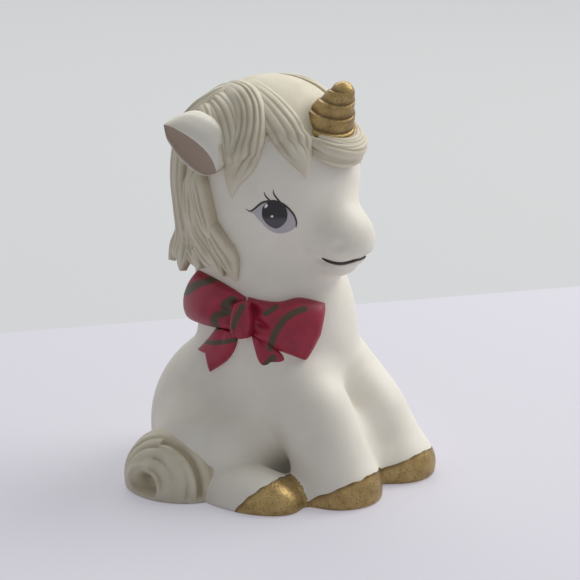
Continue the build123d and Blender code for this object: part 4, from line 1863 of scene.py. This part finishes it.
@dataclass
class Bow:
    """The bow: two loops, two tails and a knot, cast with the neck and painted.
    """

    strokes: tuple[tuple[float, tuple[Pixel, ...]], ...] = (
        (4.0, ((199, 291), (206, 283), (215, 279))),
        (3.6, ((229, 312), (231, 303), (236, 299))),
        (3.4, ((222, 326), (224, 314), (232, 311))),
        (2.6, ((242, 324), (245, 314), (249, 306))),
        (3.0, ((271, 346), (275, 332), (283, 318), (290, 313), (300, 309))),
        (2.6, ((267, 313), (276, 307))),
        (2.4, ((206, 340), (222, 341), (240, 338))),
        (3.4, ((264, 372), (268, 362), (274, 355))),
    )
    ribbons: tuple[Ribbon, ...] = (
        Ribbon("bow_left_tail", "bow_back_tail",
               near=((219, 326), (229, 330), (239, 331)), far=((200, 350.5), (209.5, 353.5), (210, 372)),
               low=((219, 326), (210, 338), (200, 350.5)),
               high=((239, 331), (237, 346), (228, 360), (210, 372)),
               thickness=1.3, puff=0.7, folds=((0.4, 0.7, 0.12, 0.4),)),
        Ribbon("bow_right_tail", "bow_front_tail",
               near=((252, 334), (263, 340), (275, 345)), far=((270, 388.5), (278, 374), (300, 375)),
               low=((252, 334), (257, 354), (262, 370), (270, 388.5)),
               high=((275, 345), (287, 356), (297, 364), (300, 375)),
               thickness=1.3, puff=0.7, folds=((0.5, 0.45, 0.12, 0.5),)),
        Ribbon("bow_left_loop", "bow_back_loop",
               near=((242, 332), (243, 315), (246, 297)), far=((192, 319), (192.5, 300), (198, 269.5)),
               low=((242, 332), (230, 329), (212, 326), (192, 319)),
               high=((246, 297), (230, 286.5), (213, 277), (198, 269.5)),
               thickness=1.4, puff=2.0, pinch=0.5, swell_end=0.55,
               hollows=((0.36, 0.50, 0.20, 0.13, 1.5), (0.10, 0.72, 0.10, 0.12, 0.9),
                        (0.10, 0.28, 0.12, 0.10, 0.7)),
               folds=((0.60, 0.80, 0.05, 0.35),)),
        Ribbon("bow_right_loop", "bow_front_loop",
               near=((250, 335), (249, 315), (249, 297)), far=((304.5, 362), (318, 334), (325, 303)),
               low=((250, 335), (262, 341), (276, 349), (292, 356), (304.5, 362)),
               high=((249, 297), (264, 300.5), (280, 301.5), (300, 297.5), (325, 303)),
               thickness=1.4, puff=2.2, pinch=0.5, swell_end=0.55,
               hollows=((0.26, 0.42, 0.13, 0.10, 1.7), (0.12, 0.72, 0.08, 0.12, 1.0),
                        (0.42, 0.60, 0.10, 0.05, 0.5)),
               folds=((0.15, 0.55, 0.06, 0.35),)),
        Ribbon("bow_knot_wrap", "bow_knot",
               near=((238, 334), (246, 335.5), (254, 335)), far=((239.5, 302), (246, 300.5), (253, 302)),
               low=((238, 334), (235.5, 320), (239.5, 302)), high=((254, 335), (256.5, 320), (253, 302)),
               thickness=3.0, puff=1.4,
               folds=((0.3, 0.42, 0.07, 0.5), (0.72, 0.6, 0.06, 0.35)), columns=60, rows=60),
    )

    def bands(self, pixels: Array) -> Array:
        """How far inside a painted band each pixel lies.

        Args:
            pixels: places in the photograph.

        Returns:
            1 on a band's middle line, 0.5 at its edge, and 0 from two half widths on.
        """
        inside = np.zeros(pixels.shape[:-1])
        for half_width, line in self.strokes:
            gap = gap_to_line(pixels, np.array(line, float))
            inside = np.maximum(inside, np.clip(1.0 - 0.5 * gap / half_width, 0.0, 1.0))
        return inside

    def bed(self, points: Array) -> Array:
        """What the bow lies on: the neck and the breast."""
        return union(points, CASTING.trunk)

    def dress(self) -> None:
        """Builds the tails, the loops and then the knot over them."""
        for ribbon in self.ribbons:
            make_piece(ribbon.name, [ribbon.build(self)], ENAMEL, ribbon.node)


@dataclass(frozen=True)
class Decal:
    """A patch of paint: an outline drawn on the photograph, filled towards its middle."""

    middle: Pixel
    outline: tuple[Pixel, ...]
    coat: float = 0.05
    dome: float = 0.0
    sink: float = 0.35
    lower: Span = (1.0, 6.0)
    rows: int = 24
    columns: int = 120

    def build(self, bed: Distance) -> Skin:
        """The paint, by rings from the middle to the outline and a hidden back.

        Args:
            bed: the field of what it is painted on.

        Returns:
            The tube, with a value that grows towards its lower edge.
        """
        loop = closed_spline(np.array(self.outline), spokes(self.columns) / TURN)
        reach = np.linspace(0.0, 1.0, grain(self.rows) + 1)[1:, None, None]
        middle = np.array(self.middle, float)
        pixels = middle + (loop - middle) * reach
        ground, up = cast_grid(pixels, bed)
        top = ground + up * (self.coat + self.dome * (1 - reach**2))
        under = ground[-1:] - up[-1:] * self.sink
        fall = smooth_step(pixels[..., 1] - middle[1], *self.lower)
        return Skin(np.concatenate([top, under]), values={"lower": np.concatenate([fall, fall[-1:]])})


@dataclass
class Face:
    """The painted face: eyes and lashes on both sides, and the mouth."""

    white: Decal = Decal((275, 217), (
        (251, 211.5), (257, 206), (264, 202.5), (273, 201.2), (282, 203.2), (289, 208), (294, 214.5),
        (296.3, 222), (294, 228.5), (287, 232), (279, 233.2), (271, 231), (264.5, 226), (259, 219.5),
        (254.5, 214.5)))
    iris: Decal = Decal((274.6, 214.5), (
        (261.9, 213), (263, 207), (267, 202.8), (274, 201), (281, 203), (286, 208), (287.4, 214),
        (286.3, 220.5), (282, 225.5), (276.3, 228.3), (270, 226), (264.8, 221.5), (262.5, 217)),
        coat=0.11, dome=0.06)
    glints: tuple[Decal, ...] = (
        Decal((272, 216), ((270.7, 216), (272, 214.8), (273.3, 216), (272, 217.2)), coat=0.2),
        Decal((266.2, 206), ((264.9, 207.8), (265.2, 204.8), (267.2, 203.6), (267.6, 206)), coat=0.2),
    )
    lashes: tuple[Stroke, ...] = (
        Stroke(((245.5, 208.7), (250, 211.2), (255, 208.3), (259, 204.8), (264, 202), (273, 200.9),
                (281, 203), (287, 207), (293, 213.6), (296.2, 220.5), (296.2, 227)),
               (0.05, 0.16, 0.2, 0.22, 0.24, 0.24, 0.24, 0.24, 0.22, 0.2, 0.12), 0.2),
        Stroke(((264, 192), (265.5, 196), (269.3, 200)), (0.06, 0.16, 0.2), 0.14),
        Stroke(((273, 189.6), (274.4, 195), (280, 202)), (0.06, 0.18, 0.2), 0.14),
    )
    mouth_pixels: tuple[Pixel, ...] = (
        (321.8, 258.6), (327, 261.2), (333, 263.2), (340, 264.2), (348, 263.5), (355, 261.6))
    mouth_middle: float = 1.5
    mouth_level: float = 0.42
    mouth_height: float = 0.12
    mouth_sink: float = 0.4
    mouth_rise: float = 0.05
    mouth_half_widths: tuple[float, ...] = (0.15, 0.36, 0.5, 0.58, 0.58, 0.58)
    mouth_points: int = 25

    def bed(self, points: Array) -> Array:
        """What the eyes are painted on: the bare face."""
        return CASTING.face(points)

    def mouth_bed(self, points: Array) -> Array:
        """What the mouth's line is painted on: the skull, sunk to the bottom of its groove."""
        return union(points, CASTING.skull) + self.mouth_level

    def build_mouth(self) -> Skin:
        """The mouth's line: its right half is cast from the photograph, its left half mirrors it.

        Returns:
            The tube, from the right corner to the left one.
        """
        right = PHOTO.onto(self.mouth_pixels, self.mouth_bed)
        right = right[right[:, 0] < -self.mouth_middle]
        line = np.vstack([right, right[::-1] * OTHER_SIDE])
        line = settle(self.mouth_bed, spline(line, np.linspace(0.0, 1.0, self.mouth_points)))[0]
        half = eased(self.mouth_half_widths, np.linspace(0.0, 1.0, self.mouth_points // 2))
        widths = (*half, half[-1], *half[::-1])
        stroke = Stroke(tuple(map(tuple, line)), widths, self.mouth_height,
                        sink=self.mouth_sink, rise=self.mouth_rise)
        return stroke.build(self.mouth_bed)

    def dress(self) -> None:
        """Builds the eyes from the back to the front, then the lashes and the mouth's line."""
        for name, decals, finish in (
            ("eye_whites", (self.white,), EYE_WHITE),
            ("irises", (self.iris,), EYE_BLACK),
            ("eye_glints", self.glints, EYE_LIGHT),
        ):
            make_piece(name, both_sides([decal.build(self.bed) for decal in decals]), finish)
        make_piece("lashes", both_sides([lash.build(self.bed) for lash in self.lashes]), FACE_LINE)
        make_piece("mouth_line", [self.build_mouth()], FACE_LINE)


@dataclass(frozen=True)
class Hoof:
    """The gold brushed on a foot's end, up to a slanting plane, with an edge that wavers."""

    node: str
    part: Part
    middle: Triple
    seed: int
    coat: float = 0.07
    floor_margin: float = 0.02
    sink: float = 0.4
    reach: float = 26.0
    waver: Span = (0.004, 0.016)
    waver_waves: tuple[int, ...] = (2, 3, 5, 8, 13)
    waver_phase: Span = (0.0, 6.0)
    waver_power: int = 4
    dark_edge: Span = (0.9, 1.0)
    rows: int = 90
    columns: int = 150

    def wavering(self, polar: Array, angle: Array) -> Array:
        """The rings' angles, moved by a sum of sines that grows towards the edge.

        Args:
            polar: angles from straight into the hoof, as a column.
            angle: turns about that, as a row.

        Returns:
            One angle per place.
        """
        draw = np.random.default_rng(self.seed)
        wave = sum(draw.uniform(*self.waver) * np.sin(angle * k + draw.uniform(*self.waver_phase))
                   for k in self.waver_waves)
        return polar + wave * (polar / polar.max()) ** self.waver_power

    def build(self) -> Skin:
        """The gold, by rays from a place on its plane over all directions below that plane.

        Returns:
            The tube, with a last ring that closes the back inside the foot.
        """
        line = CASTING.gold_lines[self.part]
        normal = line.normal()
        middle = np.array(self.middle) + normal * (line.level - normal @ np.array(self.middle))
        right = np.array((1.0, 0.0, 0.0))
        front = np.cross(normal, right)
        angle = spokes(self.columns)
        polar = (np.linspace(0.0, 1.0, grain(self.rows) + 1)[1:] * np.pi / 2)[:, None]
        polar = self.wavering(polar, angle)
        level = np.cos(angle)[:, None] * right + np.sin(angle)[:, None] * front
        directions = np.sin(polar)[..., None] * level - np.cos(polar)[..., None] * normal
        side = cast(CASTING.skin_of(self.part), middle, directions, self.reach)
        up = slope(CASTING.distance, side)
        coated = side + np.where(side[..., 2:] < self.floor_margin, 0.0, up * self.coat)
        coated[..., 2] = np.maximum(coated[..., 2], -self.floor_margin)
        under = side[-1:] - up[-1:] * self.sink
        edge = np.concatenate([smooth_step(polar / polar.max(), *self.dark_edge), angle[None] * 0])
        return Skin(np.concatenate([coated, under]), values={"groove": edge})


@dataclass
class Gilding:
    """The gold on the four feet."""

    hooves: tuple[Hoof, ...] = (
        Hoof("right_fore_hoof", Part.RIGHT_FORE, (-8.8, -27.5, 3.9), 1),
        Hoof("left_fore_hoof", Part.LEFT_FORE, (12.7, -29.0, 3.9), 2),
        Hoof("right_hind_hoof", Part.RIGHT_HIND, (-23.5, -13.6, 2.4), 3),
        Hoof("left_hind_hoof", Part.LEFT_HIND, (23.5, -13.6, 2.4), 4),
    )

    def dress(self) -> None:
        """Builds the four hooves."""
        for hoof in self.hooves:
            make_piece(f"{hoof.node}_gold", [hoof.build()], GOLD, hoof.node)


@dataclass(frozen=True)
class Lamp:
    """A soft square window that looks at the object. Its place and size are in metres."""

    name: str
    place: Triple
    size: float
    watts: float
    colour: Triple = (1.0, 0.985, 0.95)
    aim: Triple = (0.0, 0.0, 0.05)

    def build(self) -> None:
        """Puts the lamp into the scene."""
        lamp = bpy.data.lights.new(self.name, "AREA")
        lamp.size, lamp.energy, lamp.color = self.size, self.watts, self.colour
        holder = bpy.data.objects.new(self.name, lamp)
        holder.location = self.place
        holder.rotation_mode = "QUATERNION"
        holder.rotation_quaternion = (Vector(self.aim) - Vector(self.place)).to_track_quat("-Z", "Y")
        bpy.context.scene.collection.objects.link(holder)


@dataclass(frozen=True)
class Studio:
    """A sheet of lavender paper on a pale grey table, two soft windows and the room's light.

    Lengths are in metres. Evenness is the share of what is seen of a sheet that takes no
    shade, so that the background stays pale without more light on the object.
    """

    paper_far_edge: tuple[Pixel, Pixel] = ((0.0, 333.0), (580.0, 286.0))
    paper_beyond: float = 1.5
    paper_width: float = 3.0
    paper_drop: float = 0.00005
    paper_colour: str = "#D9D7E0"
    paper_evenness: float = 0.45
    table_half: float = 4.0
    table_drop: float = 0.0006
    table_colour: str = "#D2D4D5"
    table_evenness: float = 0.8
    roughness: float = 0.8
    room_colour: str = "#DEE0E4"
    room_strength: float = 0.42
    lamps: tuple[Lamp, ...] = (
        Lamp("window", (0.62, -0.3, 0.75), 0.7, 7.4),
        Lamp("far_window", (0.6, 0.6, 0.9), 0.9, 4.6),
    )

    def on_floor(self, pixel: Pixel) -> Array:
        """Where the line of sight through a pixel meets the floor, as x and y in metres."""
        eye, ray = PHOTO.axes()[0], PHOTO.rays([pixel])[0]
        return (eye - ray * (eye[2] / ray[2]))[:2] * METRES

    def show_plain(self, tree: bpy.types.NodeTree, lit: bpy.types.NodeSocket,
                   plain: bpy.types.NodeSocket, evenness: float, output: str) -> None:
        """Shows a plain colour, in part, to rays that reach the eye straight or by the object.

        Args:
            tree: the nodes of a material or of the world.
            lit: what lights the object.
            plain: what is shown instead.
            evenness: the share of it that is shown.
            output: the name of the tree's output node.
        """
        path = add_node(tree, "ShaderNodeLightPath")
        straight = add_node(tree, "ShaderNodeMath", {"operation": "MAXIMUM"},
                            in0=path.outputs["Is Camera Ray"], in1=path.outputs["Is Glossy Ray"])
        seen = add_node(tree, "ShaderNodeMath", {"operation": "MAXIMUM"},
                        in0=straight.outputs[0], in1=path.outputs["Is Transmission Ray"])
        share = add_node(tree, "ShaderNodeMath", {"operation": "MULTIPLY"},
                         in0=seen.outputs[0], in1=evenness)
        mix = add_node(tree, "ShaderNodeMixShader", None, in0=share.outputs[0], in1=lit, in2=plain)
        tree.links.new(mix.outputs[0], tree.nodes[output].inputs["Surface"])

    def sheet(self, name: str, corners: Sequence[Sequence[float]], colour: str, evenness: float) -> None:
        """A flat four-cornered sheet as part of the stage.

        Args:
            name: the sheet's name.
            corners: its corners, in metres.
            colour: its colour.
            evenness: the share of what is seen of it that takes no shade.
        """
        mesh = bpy.data.meshes.new(name)
        mesh.from_pydata([tuple(map(float, corner)) for corner in corners], [], [(0, 1, 2, 3)])
        material = bpy.data.materials.new(name)
        material.use_nodes = True
        tree = material.node_tree
        shader = tree.nodes["Principled BSDF"]
        shader.inputs["Base Color"].default_value = linear(colour)
        shader.inputs["Roughness"].default_value = self.roughness
        plain = add_node(tree, "ShaderNodeEmission", None, Color=linear(colour), Strength=1.0)
        self.show_plain(tree, shader.outputs[0], plain.outputs[0], evenness, "Material Output")
        mesh.materials.append(material)
        holder = bpy.data.objects.new(name, mesh)
        bpy.context.scene.collection.objects.link(holder)

    def lay_table(self) -> None:
        """The table top, a square round the object."""
        half, low = self.table_half, -self.table_drop
        corners = [(-half, -half, low), (half, -half, low), (half, half, low), (-half, half, low)]
        self.sheet("grey_table", corners, self.table_colour, self.table_evenness)

    def lay_paper(self) -> None:
        """The paper, from its far edge in the photograph towards the eye."""
        first, last = (self.on_floor(pixel) for pixel in self.paper_far_edge)
        run = unit(last - first)
        near = np.array((run[1], -run[0]))
        near = near * np.sign(near @ PHOTO.axes()[0][:2])
        ends = (first - run * self.paper_beyond, last + run * self.paper_beyond)
        corners = [ends[0], ends[0] + near * self.paper_width, ends[1] + near * self.paper_width, ends[1]]
        if np.cross(corners[1] - corners[0], corners[2] - corners[0]) < 0:
            corners.reverse()
        self.sheet("lavender_paper", [(*corner, -self.paper_drop) for corner in corners],
                   self.paper_colour, self.paper_evenness)

    def light_room(self) -> None:
        """The room's even light, and the table's colour where the room itself is seen."""
        world = bpy.data.worlds.new("room")
        bpy.context.scene.world = world
        world.use_nodes = True
        tree = world.node_tree
        background = tree.nodes["Background"]
        background.inputs["Color"].default_value = linear(self.room_colour)
        background.inputs["Strength"].default_value = self.room_strength
        plain = add_node(tree, "ShaderNodeBackground", None, Color=linear(self.table_colour), Strength=1.0)
        self.show_plain(tree, background.outputs[0], plain.outputs[0], 1.0, "World Output")

    def build(self) -> None:
        """Lays the table and the paper, and lights them."""
        self.lay_table()
        self.lay_paper()
        self.light_room()
        for lamp in self.lamps:
            lamp.build()


def main() -> None:
    """Sets up the view and the stage, and then builds every sub-assembly in order."""
    logging.basicConfig(level=logging.INFO, format="%(name)s: %(message)s")
    LOG.info("dressing %d CAD nodes", len(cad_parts))
    bpy.context.scene.view_settings.view_transform = "Standard"
    PHOTO.make_camera()
    Studio().build()
    for assembly in (Porcelain(), Hair(), Bow(), Face(), Ears(), Horn(), Gilding(), Forelock(), Tail()):
        assembly.dress()


if __name__ == "__main__":
    main()
